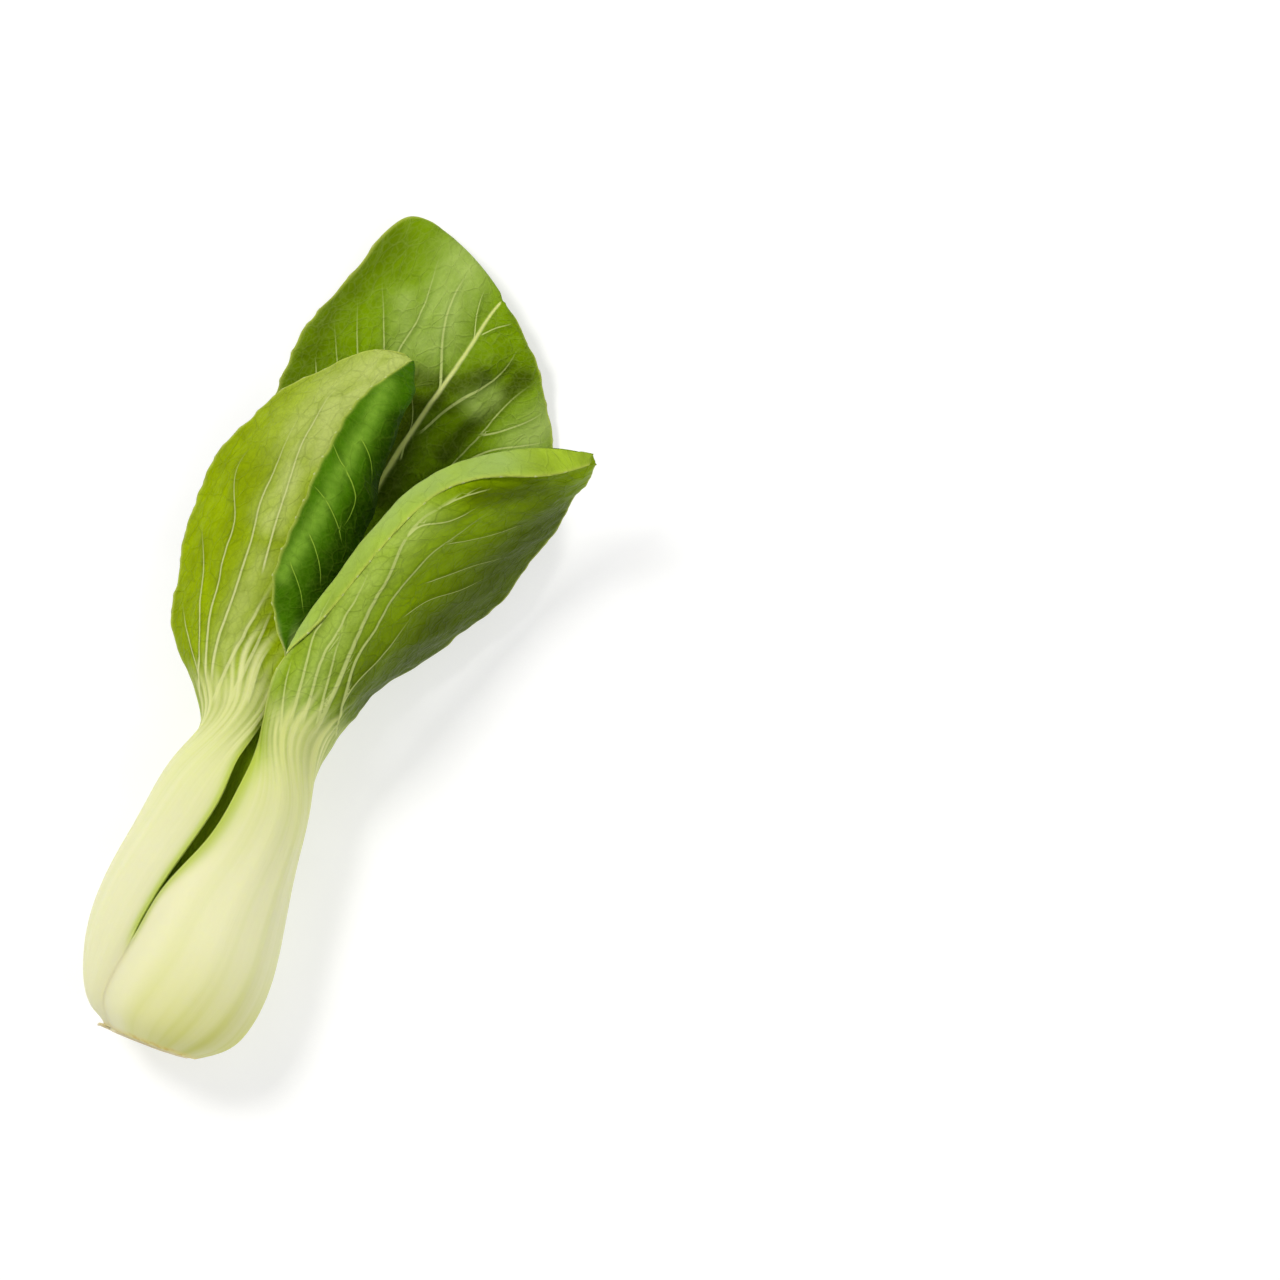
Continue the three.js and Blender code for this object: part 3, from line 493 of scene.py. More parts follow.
def pictured_route(sheet, sides, route):
    """A vein of the photograph laid on the leaf, as points in space."""
    columns = np.flatnonzero((sheet.sideways >= sides[0]) & (sheet.sideways <= sides[1]))
    area = sheet.points[:, columns].reshape(-1, 3)
    tree = nearest_tree(area * [1, 1, 0])
    flat = np.array([picture_to_head(pixel) for pixel in route])
    lengths = run_lengths(flat)
    flat = curve(lengths, flat, np.linspace(0, lengths[-1], max(4, int(lengths[-1] / VEIN_SAMPLE_STEP))))
    line = np.array([area[tree.find((x, y, 0))[1]] for x, y in flat])
    for _ in range(12):
        line[1:-1] = (line[:-2] + 2 * line[1:-1] + line[2:]) / 4
    return line


def hidden_route(sheet, start, side):
    """A side vein from the midrib to the margin of a leaf that the photograph doesn't show."""
    blade = np.flatnonzero(sheet.along >= sheet.neck)
    line = []
    for t in np.linspace(0, 1, 90):
        at = min(0.97, start + HIDDEN_VEIN_REACH * t * (1 - 0.3 * t))
        row = blade[int(at * len(blade))]
        column = int(np.interp(side * t * 0.96, sheet.sideways, np.arange(len(sheet.sideways))))
        line.append(sheet.points[row, column])
    line = np.array(line)
    for _ in range(12):
        line[1:-1] = (line[:-2] + 2 * line[1:-1] + line[2:]) / 4
    return line


def vein_fields(name, sheet):
    """Distance to the nearest vein, signed distance from its middle line in half widths, and its strength."""
    routes = []
    if name in VEINS:
        routes = [(wide, thin, pictured_route(sheet, sides, route)) for wide, thin, sides, route in VEINS[name]]
    else:
        for start in HIDDEN_VEIN_STARTS:
            routes += [(*HIDDEN_VEIN_WIDTHS, hidden_route(sheet, start, side)) for side in (-1, 1)]
    points = np.concatenate([line for _, _, line in routes])
    headings = np.concatenate([unit_length(np.gradient(line, axis=0)) for _, _, line in routes])
    shares = np.concatenate([np.linspace(0, 1, len(line)) for _, _, line in routes])
    widths = np.concatenate([wide + (thin - wide) * np.linspace(0, 1, len(line)) ** 0.6
                             for wide, thin, line in routes])
    tree = nearest_tree(points)
    near = np.full(sheet.u.shape, NO_VEIN)
    found = np.zeros(sheet.u.shape, int)
    for i in np.flatnonzero(sheet.along > sheet.neck - 20):
        for j in range(len(sheet.sideways)):
            _, found[i, j], near[i, j] = tree.find(sheet.points[i, j])
    across = np.cross(sheet.inward, headings[found])
    signed = np.einsum("ijk,ijk->ij", sheet.points - points[found], across) / widths[found]
    strength = (1 - 0.4 * shares[found]) * (1 - smooth_step(shares[found], 0.7, 1)) * smooth_step(shares[found], 0, 0.08)
    return near, np.clip(signed, -4, 4), strength


def sum_of_waves(x, y, wavelengths, seed):
    """Gentle uneven relief between about -1 and 1, from many waves in different directions."""
    chance = np.random.default_rng(seed)
    total = 0
    for wavelength in wavelengths:
        heading, phase = chance.uniform(0, 2 * math.pi, 2)
        total = total + np.sin(2 * math.pi / wavelength * (x * math.cos(heading) + y * math.sin(heading)) + phase)
    return total / math.sqrt(len(wavelengths))


FLUTE_DEPTH = 0.3
FLUTES_PER_HALF = 2.5
FINE_FLUTE_DEPTH = 0.05
PUCKER_HEIGHT = 0.35
PUCKER_LENGTH = 15
PUCKER_SLANT = 14
QUILT_HEIGHT = 0.35
CRINKLE_HEIGHT = 0.13
CRINKLE_LENGTHS = [4, 4.6, 5.1, 5.7, 6.2, 6.9, 7.7, 8.5, 9.6, 11, 13]
RUFFLE_HEIGHT = 0.4
RUFFLE_LENGTH = 21
SCALLOP_HEIGHT = 0.16
SCALLOP_LENGTH = 6.1
TOOTH_HEIGHT = 0.3
TOOTH_WIDTH = 0.55
TOOTH_SPACING = (3.0, 8.5)
VEIN_RELIEF = 0.26
MIDRIB_RELIEF = 0.4
THIN_MARGIN = 0.5
EDGE_TUCK = 0.85
EDGE_OVERLAP = 0.45
# Where the two upper leaf bases have grown together: side, tuck, reach of the tuck and overlap.
SEAMS = {"leaf_left": (1, 0.5, 3.0, 1.1), "leaf_right": (-1, 0.3, 1.0, 0.3)}
FOOT_NOTCH = {"leaf_left": 1.1}
# Wider upper end of the slit between the two upper stalks: depth cut from the edge, its place and its reach.
SLIT_WIDENING = {"leaf_left": (1.1, 75, 8)}
# Where the leaf's left margin lies folded on its own face, and how deep the margin presses into it.
FOLD_CRESTS = {"leaf_right": -0.72}
FOLD_PRESS = 0.12
FOLD_NEAR = 1.6
NECK_RIBS = 6.5
NECK_RIB_RELIEF = 0.2


# Side of the midrib whose ribs stay pale far up the blade.
PALE_SIDES = {"leaf_left": 1}


def soft_bands(sheet, bands):
    """How much each point lies within the bands drawn in the picture, from 0 to 1."""
    total = 0 * sheet.u
    flat = sheet.points[..., :2]
    for reach, strength, sides, route in bands:
        route = np.array([picture_to_head(pixel) for pixel in route])
        lengths = run_lengths(route)
        line = curve(lengths, route, np.linspace(0, lengths[-1], 24))
        away = np.min([np.linalg.norm(flat - point, axis=2) for point in line], axis=0)
        inside = smooth_step(sheet.v, sides[0] - 0.08, sides[0]) * (1 - smooth_step(sheet.v, sides[1], sides[1] + 0.08))
        total = np.maximum(total, strength * hump(away, reach) * inside)
    return total


def tooth_field(sheet, seed):
    """How much each point belongs to one of the small teeth that stand unevenly along the margin."""
    chance = np.random.default_rng(seed)
    field = np.zeros(sheet.u.shape)
    for side in (-1, 1):
        place = sheet.neck + 6
        while place < sheet.end - 3:
            field += hump(sheet.u - place, TOOTH_WIDTH) * (sheet.v * side > 0)
            place += chance.uniform(*TOOTH_SPACING)
    return field


def fold_drop(sheet, skin, crest):
    """How far each point of a folded margin comes down so that the margin rests on the leaf's own face."""
    face = skin[:, sheet.sideways > crest + 0.2].reshape(-1, 3)
    tree = nearest_tree(face * [1, 1, 0])
    gaps = np.zeros(len(sheet.along))
    for i in np.flatnonzero(sheet.along > sheet.neck):
        x, y, z = skin[i, 0]
        _, found, away = tree.find((x, y, 0))
        if away < FOLD_NEAR:
            gaps[i] = max(0, z - face[found][2] + FOLD_PRESS)
    for _ in range(60):
        gaps[1:-1] = (gaps[:-2] + 2 * gaps[1:-1] + gaps[2:]) / 4
    gaps *= 1 - smooth_step(sheet.along, sheet.end - 32, sheet.end - 16)
    return gaps[:, None] * np.clip((crest - sheet.v) / (crest + 1), 0, 1)


def leaf_piece(leaf, blade_step, stalk_step, material, head_offset):
    name = leaf["name"]
    seed = sum(map(ord, name))
    sheet = Sheet(leaf, blade_step, stalk_step)
    near, signed, strength = vein_fields(name, sheet)
    u, v, side = sheet.u, sheet.v, np.abs(sheet.v)
    past = u - sheet.neck
    near_tip = smooth_step(sheet.end - u, 0, 12)
    rise = smooth_step(past, -5, 14)
    past_neck = smooth_step(past, 0, 6)
    stalk = 1 - smooth_step(side - sheet.share, -0.05, 0.35)

    # Pale ribs fan out at the neck; the midrib narrows to a thin line at the tip.
    wide, narrow, paleness = MIDRIBS.get(name, OTHER_MIDRIB)
    rib_phase = 2 * math.pi * NECK_RIBS * v + 1.6 * np.sin(5 * v + seed) + 0.7 * np.sin(11 * v + past / 25)
    rib_pattern = (0.5 + 0.5 * np.cos(rib_phase)) * (0.6 + 0.4 * np.sin(9 * v + 2 * seed))
    spear = hump(sheet.lateral, np.maximum(sheet.share * sheet.half_width * 0.75, 0.4)) * (1 - smooth_step(past, 2, 34))
    ribbed = smooth_step(v * PALE_SIDES.get(name, 0), -0.1, 0.12) * (1 - smooth_step(past, 6, 34))
    spear = np.maximum(spear, ribbed)
    blade_length = sheet.end - sheet.neck
    midrib_width = curve([0, 0.2 * blade_length, 0.5 * blade_length, blade_length],
                         [wide, 0.6 * wide + 0.4 * narrow, narrow, 0.3], np.clip(sheet.along - sheet.neck, 0, None))
    midrib = hump(sheet.lateral, np.maximum(midrib_width, 0.3)[:, None]) * smooth_step(sheet.end - u, 0, 4)
    vein = hump(near, 0.7) * strength * smooth_step(past, -16, -2)
    pale = np.maximum(spear * (0.25 + 0.75 * rib_pattern), midrib * paleness * past_neck)
    groove = smooth_step(past, -20, 4) * (1 - rib_pattern) ** 1.5 * (0.3 + 0.4 * side)
    green = np.maximum(rise * (1 - pale), groove * (1 - 0.6 * pale * rib_pattern))

    # Heights that move both skins, measured towards the upper face.
    flute = 1 - np.cos(2 * math.pi * FLUTES_PER_HALF * v)
    fine = np.sin(v * 61) * np.sin(v * 27 + 1)
    body = stalk * (1 - side ** 4) * smooth_step(u, 4, 20) * sheet.share
    pucker = np.sin(2 * math.pi * (u - PUCKER_SLANT * side) / PUCKER_LENGTH) * np.sin(math.pi * side)
    ruffle = np.sin(2 * math.pi * u / RUFFLE_LENGTH + v) * side ** 4
    crinkle = sum_of_waves(sheet.lateral, u, CRINKLE_LENGTHS, seed) * rise * near_tip * (1 - hump(near, 1.6))
    quilt = rise * near_tip * (1 - hump(near, 2.6)) * smooth_step(sheet.from_margin, 0, 4)
    folded = (v < 0) * (name in FOLD_CRESTS) * smooth_step(past, 0, 15)
    lift = (1 - stalk) * near_tip * (PUCKER_HEIGHT * pucker + RUFFLE_HEIGHT * ruffle)
    lift = lift + (0.5 * FLUTE_DEPTH * flute + FINE_FLUTE_DEPTH * fine) * body
    lift = lift + CRINKLE_HEIGHT * crinkle + 0.5 * QUILT_HEIGHT * quilt
    lift = lift * (1 - folded * hump(sheet.from_margin, 6))
    neck_ribs = NECK_RIB_RELIEF * rib_pattern * hump(past - 9, 13) * smooth_step(sheet.from_margin, 0, 3)
    low_edge = 1 - smooth_step(u, 19, 31)
    seam_side, seam_tuck, seam_reach, seam_overlap = SEAMS.get(name, (0, 0, 1, 0))
    at_seam = v * seam_side > 0
    tuck = np.where(at_seam, seam_tuck * hump(sheet.from_margin, seam_reach), EDGE_TUCK * smooth_step(side, 0.8, 1))
    tuck = tuck * low_edge + FOOT_NOTCH.get(name, 0) * hump(u - 1.5, 1.7) * (1 - smooth_step(v, 0.2, 0.8))
    relief = rise * near_tip * np.maximum(VEIN_RELIEF * vein, MIDRIB_RELIEF * midrib * paleness)

    scallop = np.cos(2 * math.pi * u / SCALLOP_LENGTH) + 0.6 * np.cos(2 * math.pi * u / (SCALLOP_LENGTH * 2.3) + 2)
    tooth = tooth_field(sheet, seed)
    outward = SCALLOP_HEIGHT * scallop * hump(sheet.from_margin, 2) + TOOTH_HEIGHT * tooth * hump(sheet.from_margin, 0.6)
    overlap = np.where(at_seam, seam_overlap, EDGE_OVERLAP) * low_edge * hump(sheet.from_margin, 1.5)
    slit_depth, slit_place, slit_reach = SLIT_WIDENING.get(name, (0, 0, 1))
    overlap = overlap - slit_depth * hump(u - slit_place, slit_reach) * hump(sheet.from_margin, 4) * (v > 0)
    outward = (outward * (1 - stalk) * near_tip * (1 - 0.8 * folded) + overlap) * np.sign(v)

    q = np.clip(side / np.maximum(sheet.share, 0.02), 0, 1)
    edge = np.minimum(sheet.thickness, EDGE_THICKNESS)
    in_stalk = edge + (sheet.thickness - edge) * (1 - q * q) ** 0.8
    blade = BLADE_THICKNESS * (1 - THIN_MARGIN * hump(sheet.from_margin, 2))
    in_blade = blade + (in_stalk - blade) * (q < 1) * (1 - q * q)
    thickness = in_stalk + (in_blade - in_stalk) * past_neck

    spread = sheet.points + sheet.across * outward[..., None]
    outer = spread + sheet.inward * (lift - relief - neck_ribs + tuck)[..., None]
    inner = spread + sheet.inward * (lift + thickness + 0.4 * relief + 0.3 * tuck)[..., None]
    if name in FOLD_CRESTS:
        drop = fold_drop(sheet, outer, FOLD_CRESTS[name])
        outer[..., 2] -= drop
        inner[..., 2] -= drop
    outer[..., 2] = np.maximum(outer[..., 2], 0)
    inner[..., 2] = np.maximum(inner[..., 2], thickness)

    piece = mesh_piece(name, (np.concatenate([outer.reshape(-1, 3), inner.reshape(-1, 3)]) + head_offset) * MM,
                       two_skins(u.shape, sheet.facing))
    fields = {
        "green": green,
        "pale_rib": pale * past_neck,
        "vein_across": signed,
        "vein_near": near,
        "vein_strength": strength,
        "margin": hump(sheet.from_margin, 0.55) * (1 - stalk),
        "tooth": tooth * hump(sheet.from_margin, 0.6),
        "stalk_edge": hump(sheet.from_margin, 0.9) * stalk * low_edge * ((v < 0) | at_seam),
        "slit_edge": hump(sheet.from_margin, np.where(v < 0, 0.9 + 1.7 * smooth_step(u, 34, 54), 1.3))
        * (1 - low_edge) * stalk
        * (1 - smooth_step(past, 8, 22)),
        "foot": hump(u, 1.1),
        "height": np.clip(u / sheet.neck, 0, 2),
        # Pale bands: the waxy coating's paler green together with painted sheen.
        "wax_sheen": soft_bands(sheet, WAX_AND_SHEEN_BANDS.get(name, [])),
        # Painted shade bands.
        "painted_shade": soft_bands(sheet, PAINTED_SHADE_BANDS.get(name, [])),
    }
    for key, field in fields.items():
        add_attribute(piece, key, np.concatenate([field.ravel(), field.ravel()]))
    add_attribute(piece, "upper", np.repeat([0.0, 1.0], u.size))
    blade_places = np.stack([sheet.lateral, u, 0 * u], axis=-1).reshape(-1, 3)
    add_vectors(piece, "leaf_mm", np.concatenate([blade_places, blade_places + [0, 0, 40]]))
    stalk_places = np.stack([v * 24, u, 0 * u + seed], axis=-1).reshape(-1, 3)
    add_vectors(piece, "stalk_mm", np.concatenate([stalk_places, stalk_places + [0, 0, 40]]))
    slot = "heart_leaf" if name == "leaf_heart" else "leaf"
    finish_piece(piece, material, slot, name + "_stalk", name + "_blade")


def two_skins(shape, facing):
    """Faces of a sheet's outer skin, its inner skin and the narrow wall round them."""
    count = shape[0] * shape[1]
    index = np.arange(count).reshape(shape)
    quads = np.stack([index[:-1, :-1], index[:-1, 1:], index[1:, 1:], index[1:, :-1]], axis=-1).reshape(-1, 4)
    rim = np.concatenate([index[0, :], index[1:, -1], index[-1, -2::-1], index[-2:0:-1, 0]])
    walls = np.stack([rim, np.roll(rim, -1), np.roll(rim, -1) + count, rim + count], axis=-1)
    if facing < 0:
        quads = quads[:, ::-1]
    else:
        walls = walls[:, ::-1]
    return np.concatenate([quads, (quads + count)[:, ::-1], walls])


def mesh_piece(name, points, faces):
    mesh = bpy.data.meshes.new(name)
    mesh.from_pydata(points.tolist(), [], faces.tolist())
    mesh.validate()
    mesh.shade_smooth()
    piece = bpy.data.objects.new(name + "_look", mesh)
    bpy.context.scene.collection.objects.link(piece)
    return piece


def add_attribute(piece, name, values):
    attribute = piece.data.attributes.new(name, "FLOAT", "POINT")
    attribute.data.foreach_set("value", np.ascontiguousarray(values, np.float32))


def add_vectors(piece, name, values):
    attribute = piece.data.attributes.new(name, "FLOAT_VECTOR", "POINT")
    attribute.data.foreach_set("vector", np.ascontiguousarray(values, np.float32).ravel())


def finish_piece(piece, material, slot, *nodes):
    piece.data.materials.append(material)
    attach(piece, "root")
    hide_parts(*nodes)


class Shader:
    """A short way to write a node material: each call adds a node and gives back its output."""

    def __init__(self, name):
        self.material = bpy.data.materials.new(name)
        self.material.use_nodes = True
        self.tree = self.material.node_tree
        self.tree.nodes.clear()

    def node(self, kind, inputs=(), **settings):
        node = self.tree.nodes.new(kind)
        for key, value in settings.items():
            setattr(node, key, value)
        for key, value in dict(inputs).items():
            if isinstance(value, bpy.types.NodeSocket):
                self.tree.links.new(value, node.inputs[key])
            else:
                node.inputs[key].default_value = value
        return node

    def attribute(self, name):
        return self.node("ShaderNodeAttribute", attribute_name=name).outputs["Fac"]

    def vector_part(self, name, part):
        places = self.node("ShaderNodeAttribute", attribute_name=name).outputs["Vector"]
        return self.node("ShaderNodeSeparateXYZ", {0: places}).outputs[part]

    def grey(self, value):
        return self.node("ShaderNodeCombineColor", {0: value, 1: value, 2: value}).outputs[0]

    def places(self, name, scale):
        places = self.node("ShaderNodeAttribute", attribute_name=name).outputs["Vector"]
        return self.node("ShaderNodeVectorMath", {0: places, 1: scale}, operation="MULTIPLY").outputs[0]

    def ramp(self, value, low, high, to_low=0.0, to_high=1.0):
        return self.node("ShaderNodeMapRange", {0: value, 1: low, 2: high, 3: to_low, 4: to_high},
                         interpolation_type="SMOOTHSTEP").outputs[0]

    def math(self, operation, a, b=0.0):
        return self.node("ShaderNodeMath", {0: a, 1: b}, operation=operation).outputs[0]

    def mix(self, share, a, b, blend="MIX"):
        node = self.node("ShaderNodeMix", data_type="RGBA", blend_type=blend)
        for key, value in ((0, share), (6, a), (7, b)):
            if isinstance(value, bpy.types.NodeSocket):
                self.tree.links.new(value, node.inputs[key])
            else:
                node.inputs[key].default_value = value
        return node.outputs[2]

    def noise(self, name, scale, detail=3.0):
        settings = {"Vector": self.places(name, scale), "Scale": 1.0, "Detail": detail}
        return self.node("ShaderNodeTexNoise", settings).outputs["Fac"]

    def cell_edges(self, cell, stretch=1.0):
        places = self.places("leaf_mm", (1 / cell, 1 / (cell * stretch), 1 / cell))
        warp = self.node("ShaderNodeTexNoise", {"Vector": places, "Scale": 0.7, "Detail": 2.0}).outputs["Color"]
        bent = self.node("ShaderNodeVectorMath", {0: warp, 1: (0.8, 0.8, 0.8)}, operation="MULTIPLY_ADD")
        self.tree.links.new(places, bent.inputs[2])
        return self.node("ShaderNodeTexVoronoi", {"Vector": bent.outputs[0], "Scale": 1.0},
                         feature="DISTANCE_TO_EDGE").outputs["Distance"]


def colour(hex_code):
    """Linear colour of an sRGB hex code."""
    parts = [int(hex_code[i:i + 2], 16) / 255 for i in (0, 2, 4)]
    return tuple(p / 12.92 if p <= 0.04045 else ((p + 0.055) / 1.055) ** 2.4 for p in parts) + (1.0,)


LEAF_SHINE = 0.05


def leaf_material(name, under, upper, vein_under, vein_upper, wax_sheen_under, wax_sheen_upper, stalk_colours):
    """Waxy leaf: green blade with pale veins and a fine net, running into a pale striped stalk."""
    s = Shader(name)
    face, green, near = s.attribute("upper"), s.attribute("green"), s.attribute("vein_near")
    along, height = s.vector_part("stalk_mm", 0), s.attribute("height")

    # Blade colour: each face has its own green, mottled, darkened in the painted shade bands, and paler in bands that
    # are partly waxy coating and partly painted sheen.
    base = s.mix(face, colour(under), colour(upper))
    mottle = s.ramp(s.noise("leaf_mm", (0.07, 0.05, 0.07)), 0.3, 0.7, 0.86, 1.12)
    small_mottle = s.ramp(s.noise("leaf_mm", (0.35, 0.22, 0.35), 4.0), 0.3, 0.7, 0.9, 1.08)
    mottle = s.math("MULTIPLY", mottle, small_mottle)
    # Painted shade: the shade bands darken the blade's colour, down to about a third.
    mottle = s.math("MULTIPLY", mottle, s.ramp(s.attribute("painted_shade"), 0.0, 1.0, 1.0, 0.36))
    base = s.mix(1.0, base, s.grey(mottle), "MULTIPLY")
    # Painted sheen: the pale bands are partly the waxy coating's own paler green and partly light glancing off it.
    wax_sheen_share = s.math("MULTIPLY", s.attribute("wax_sheen"), s.ramp(s.noise("leaf_mm", (0.2, 0.12, 0.2)), 0.3, 0.6, 0.6, 1.0))
    base = s.mix(wax_sheen_share, base, s.mix(face, colour(wax_sheen_under), colour(wax_sheen_upper)))

    # A coarse and a fine net of small veins, then the drawn veins, the ribs and the thin pale margin.
    net = s.ramp(s.cell_edges(3.8, 1.25), 0.0, 0.08, 1.0, 0.0)
    fine_net = s.ramp(s.cell_edges(1.5, 1.1), 0.0, 0.16, 1.0, 0.0)
    uneven = s.ramp(s.noise("leaf_mm", (0.12, 0.12, 0.12)), 0.35, 0.7, 0.04, 0.24)
    vein_colour = s.mix(face, colour(vein_under), colour(vein_upper))
    net_colour = s.mix(face, s.mix(1.0, base, (0.45, 0.5, 0.4, 1), "MULTIPLY"), s.mix(0.3, base, vein_colour))
    base = s.mix(s.math("MULTIPLY", net, uneven), base, net_colour)
    base = s.mix(s.math("MULTIPLY", fine_net, 0.16), base, net_colour)
    offset = s.math("ABSOLUTE", s.attribute("vein_across"))
    line = s.math("MULTIPLY", s.ramp(offset, 0.3, 0.7, 1.0, 0.0), s.ramp(near, 0.6, 1.0, 1.0, 0.0))
    # Painted shade along one side of each vein, where its raised relief would throw a shadow.
    shade = s.math("MULTIPLY", s.ramp(s.attribute("vein_across"), 0.6, 2.8, 0.45, 0.0), s.ramp(near, 0.5, 1.5, 1.0, 0.0))
    shade = s.math("MULTIPLY", shade, s.attribute("vein_strength"))
    base = s.mix(shade, base, s.mix(1.0, base, (0.4, 0.45, 0.4, 1), "MULTIPLY"))
    line = s.math("MULTIPLY", line, s.attribute("vein_strength"))
    base = s.mix(s.math("MULTIPLY", line, 0.95), base, vein_colour)
    base = s.mix(s.math("MULTIPLY", s.attribute("margin"), 0.75), base, colour("c8d65c"))
    base = s.mix(s.ramp(s.attribute("tooth"), 0.45, 1.0, 0.0, 0.7), base, colour("e6ecb4"))
    base = s.mix(s.ramp(s.attribute("pale_rib"), 0.3, 1.0, 0.0, 0.8), base, vein_colour)

    # Stalk colour: cream in broad soft stripes of yellow green, greener towards the neck, and a darker mint towards the
    # right that is partly the stalk's own tint and partly painted shade on the side away from the light.
    cream, stripe_green, neck_green, mint_and_shade, olive = map(colour, stalk_colours)
    past_seam = s.ramp(along, -23.0, -11.0, 0.1, 1.0)
    stripes = s.math("MULTIPLY", s.ramp(s.noise("stalk_mm", (0.27, 0.006, 0.3), 2.0), 0.3, 0.72), past_seam)
    fine = s.ramp(s.noise("stalk_mm", (1.1, 0.012, 0.3), 2.0), 0.3, 0.7, 0.0, 0.3)
    stalk = s.mix(s.math("MULTIPLY", stripes, 0.4), cream, stripe_green)
    stalk = s.mix(s.ramp(along, 6.0, 20.0, 0.0, 0.55), stalk, mint_and_shade)
    stalk = s.mix(s.ramp(height, 0.5, 1.05, 0.0, 0.6), stalk, neck_green)
    stalk = s.mix(fine, stalk, cream)
    foot = s.math("MULTIPLY", s.ramp(height, 0.05, 0.42, 1.0, 0.0), s.math("ADD", s.math("MULTIPLY", stripes, 0.3), 0.42))
    stalk = s.mix(s.math("MULTIPLY", foot, past_seam), stalk, olive)
    stalk = s.mix(s.math("MULTIPLY", s.attribute("stalk_edge"), 0.85), stalk, colour("ece79c"))
    stalk = s.mix(s.math("MULTIPLY", s.attribute("slit_edge"), 0.8), stalk, colour("a8c018"))
    rusty = s.ramp(s.noise("stalk_mm", (0.45, 0.6, 0.45)), 0.5, 0.66)
    stalk = s.mix(s.attribute("foot"), stalk, s.mix(rusty, colour("e6d284"), colour("d8a84c")))
    result = s.mix(s.ramp(green, 0.02, 0.9), stalk, base)

    bump_height = s.math("ADD", s.math("MULTIPLY", net, 0.6), s.math("MULTIPLY", fine_net, 0.1))
    crinkle = s.noise("leaf_mm", (0.55, 0.32, 0.55), 4.0)
    bump_height = s.math("ADD", bump_height, s.math("MULTIPLY", crinkle, 2.2))
    bump_height = s.math("MULTIPLY", bump_height, green)
    bump_height = s.math("ADD", bump_height, s.math("MULTIPLY", s.noise("stalk_mm", (2.4, 0.25, 2.2)), 0.2))
    bump = s.node("ShaderNodeBump", {"Height": bump_height, "Strength": 0.5, "Distance": 0.0005}).outputs[0]
    roughness = s.ramp(s.noise("leaf_mm", (0.5, 0.5, 0.5)), 0.3, 0.7, 0.36, 0.48)
    skin = s.node("ShaderNodeBsdfPrincipled", {
        "Base Color": result, "Roughness": roughness, "Normal": bump, "Specular IOR Level": LEAF_SHINE,
        "Specular Tint": (0.9, 1.0, 0.3, 1.0), "Subsurface Weight": s.ramp(green, 0.0, 0.7, 0.6, 0.06),
        "Subsurface Radius": (0.005, 0.0055, 0.0025), "Subsurface Scale": 1.0}).outputs[0]
    glow = s.mix(1.0, result, colour("f0f4a0"), "MULTIPLY")
    through = s.node("ShaderNodeBsdfTranslucent", {"Color": glow}).outputs[0]
    both = s.node("ShaderNodeMixShader", {0: s.math("MULTIPLY", green, 0.18), 1: skin, 2: through}).outputs[0]
    s.node("ShaderNodeOutputMaterial", {"Surface": both})
    return s.material


def crown_material():
    """Cut stem: cream flesh with a ring of bundles, browned and fibrous at the rim."""
    s = Shader("cut_stem")
    depth = s.attribute("depth")
    rim = s.attribute("rim")
    places = s.node("ShaderNodeTexCoord").outputs["Object"]
    spots = s.node("ShaderNodeTexNoise", {"Vector": places, "Scale": 900.0, "Detail": 4.0}).outputs["Fac"]
    patches = s.node("ShaderNodeTexNoise", {"Vector": places, "Scale": 220.0, "Detail": 3.0}).outputs["Fac"]
    flesh = s.mix(s.ramp(spots, 0.4, 0.7), colour("efe9cd"), colour("d9cf9c"))
    ring = s.ramp(s.math("ABSOLUTE", s.math("SUBTRACT", rim, 0.62)), 0.0, 0.12, 0.7, 0.0)
    flesh = s.mix(ring, flesh, colour("c9c888"))
    flesh = s.mix(s.ramp(rim, 0.86, 1.0, 0.0, 0.6), flesh, colour("d8bf86"))
    flesh = s.mix(s.ramp(patches, 0.62, 0.75, 0.0, 0.5), flesh, colour("b99a5c"))
    side = s.mix(s.ramp(patches, 0.4, 0.7), colour("e9e6b8"), colour("dcdc9a"))
    result = s.mix(s.ramp(depth, 0.05, 0.25), flesh, side)
    bump = s.node("ShaderNodeBump", {"Height": spots, "Strength": 0.5, "Distance": 0.0003}).outputs[0]
    skin = s.node("ShaderNodeBsdfPrincipled", {
        "Base Color": result, "Roughness": 0.55, "Normal": bump,
        "Subsurface Weight": 0.3, "Subsurface Radius": (0.003, 0.003, 0.0015), "Subsurface Scale": 1.0}).outputs[0]
    s.node("ShaderNodeOutputMaterial", {"Surface": skin})
    return s.material


CROWN_AT = [0, 0.25, 1, 2, 4.5, 6.5, 8.5, 10, 10.6]
CROWN_RADIUS = [9.3, 9.75, 10.1, 10.6, 11.8, 10.8, 7.8, 4.2, 0.4]
CROWN_SEGMENTS = 144
CUT_RINGS = 22


FLAKE_CORNERS = [(-8.4, -0.1, 22.0), (-8.4, 1.3, 22.0), (-12.2, 0.5, 22.6), (-12.4, 0.2, 22.6)]
FLAKE_THICKNESS = 0.35
FLAKE_STEPS = 12


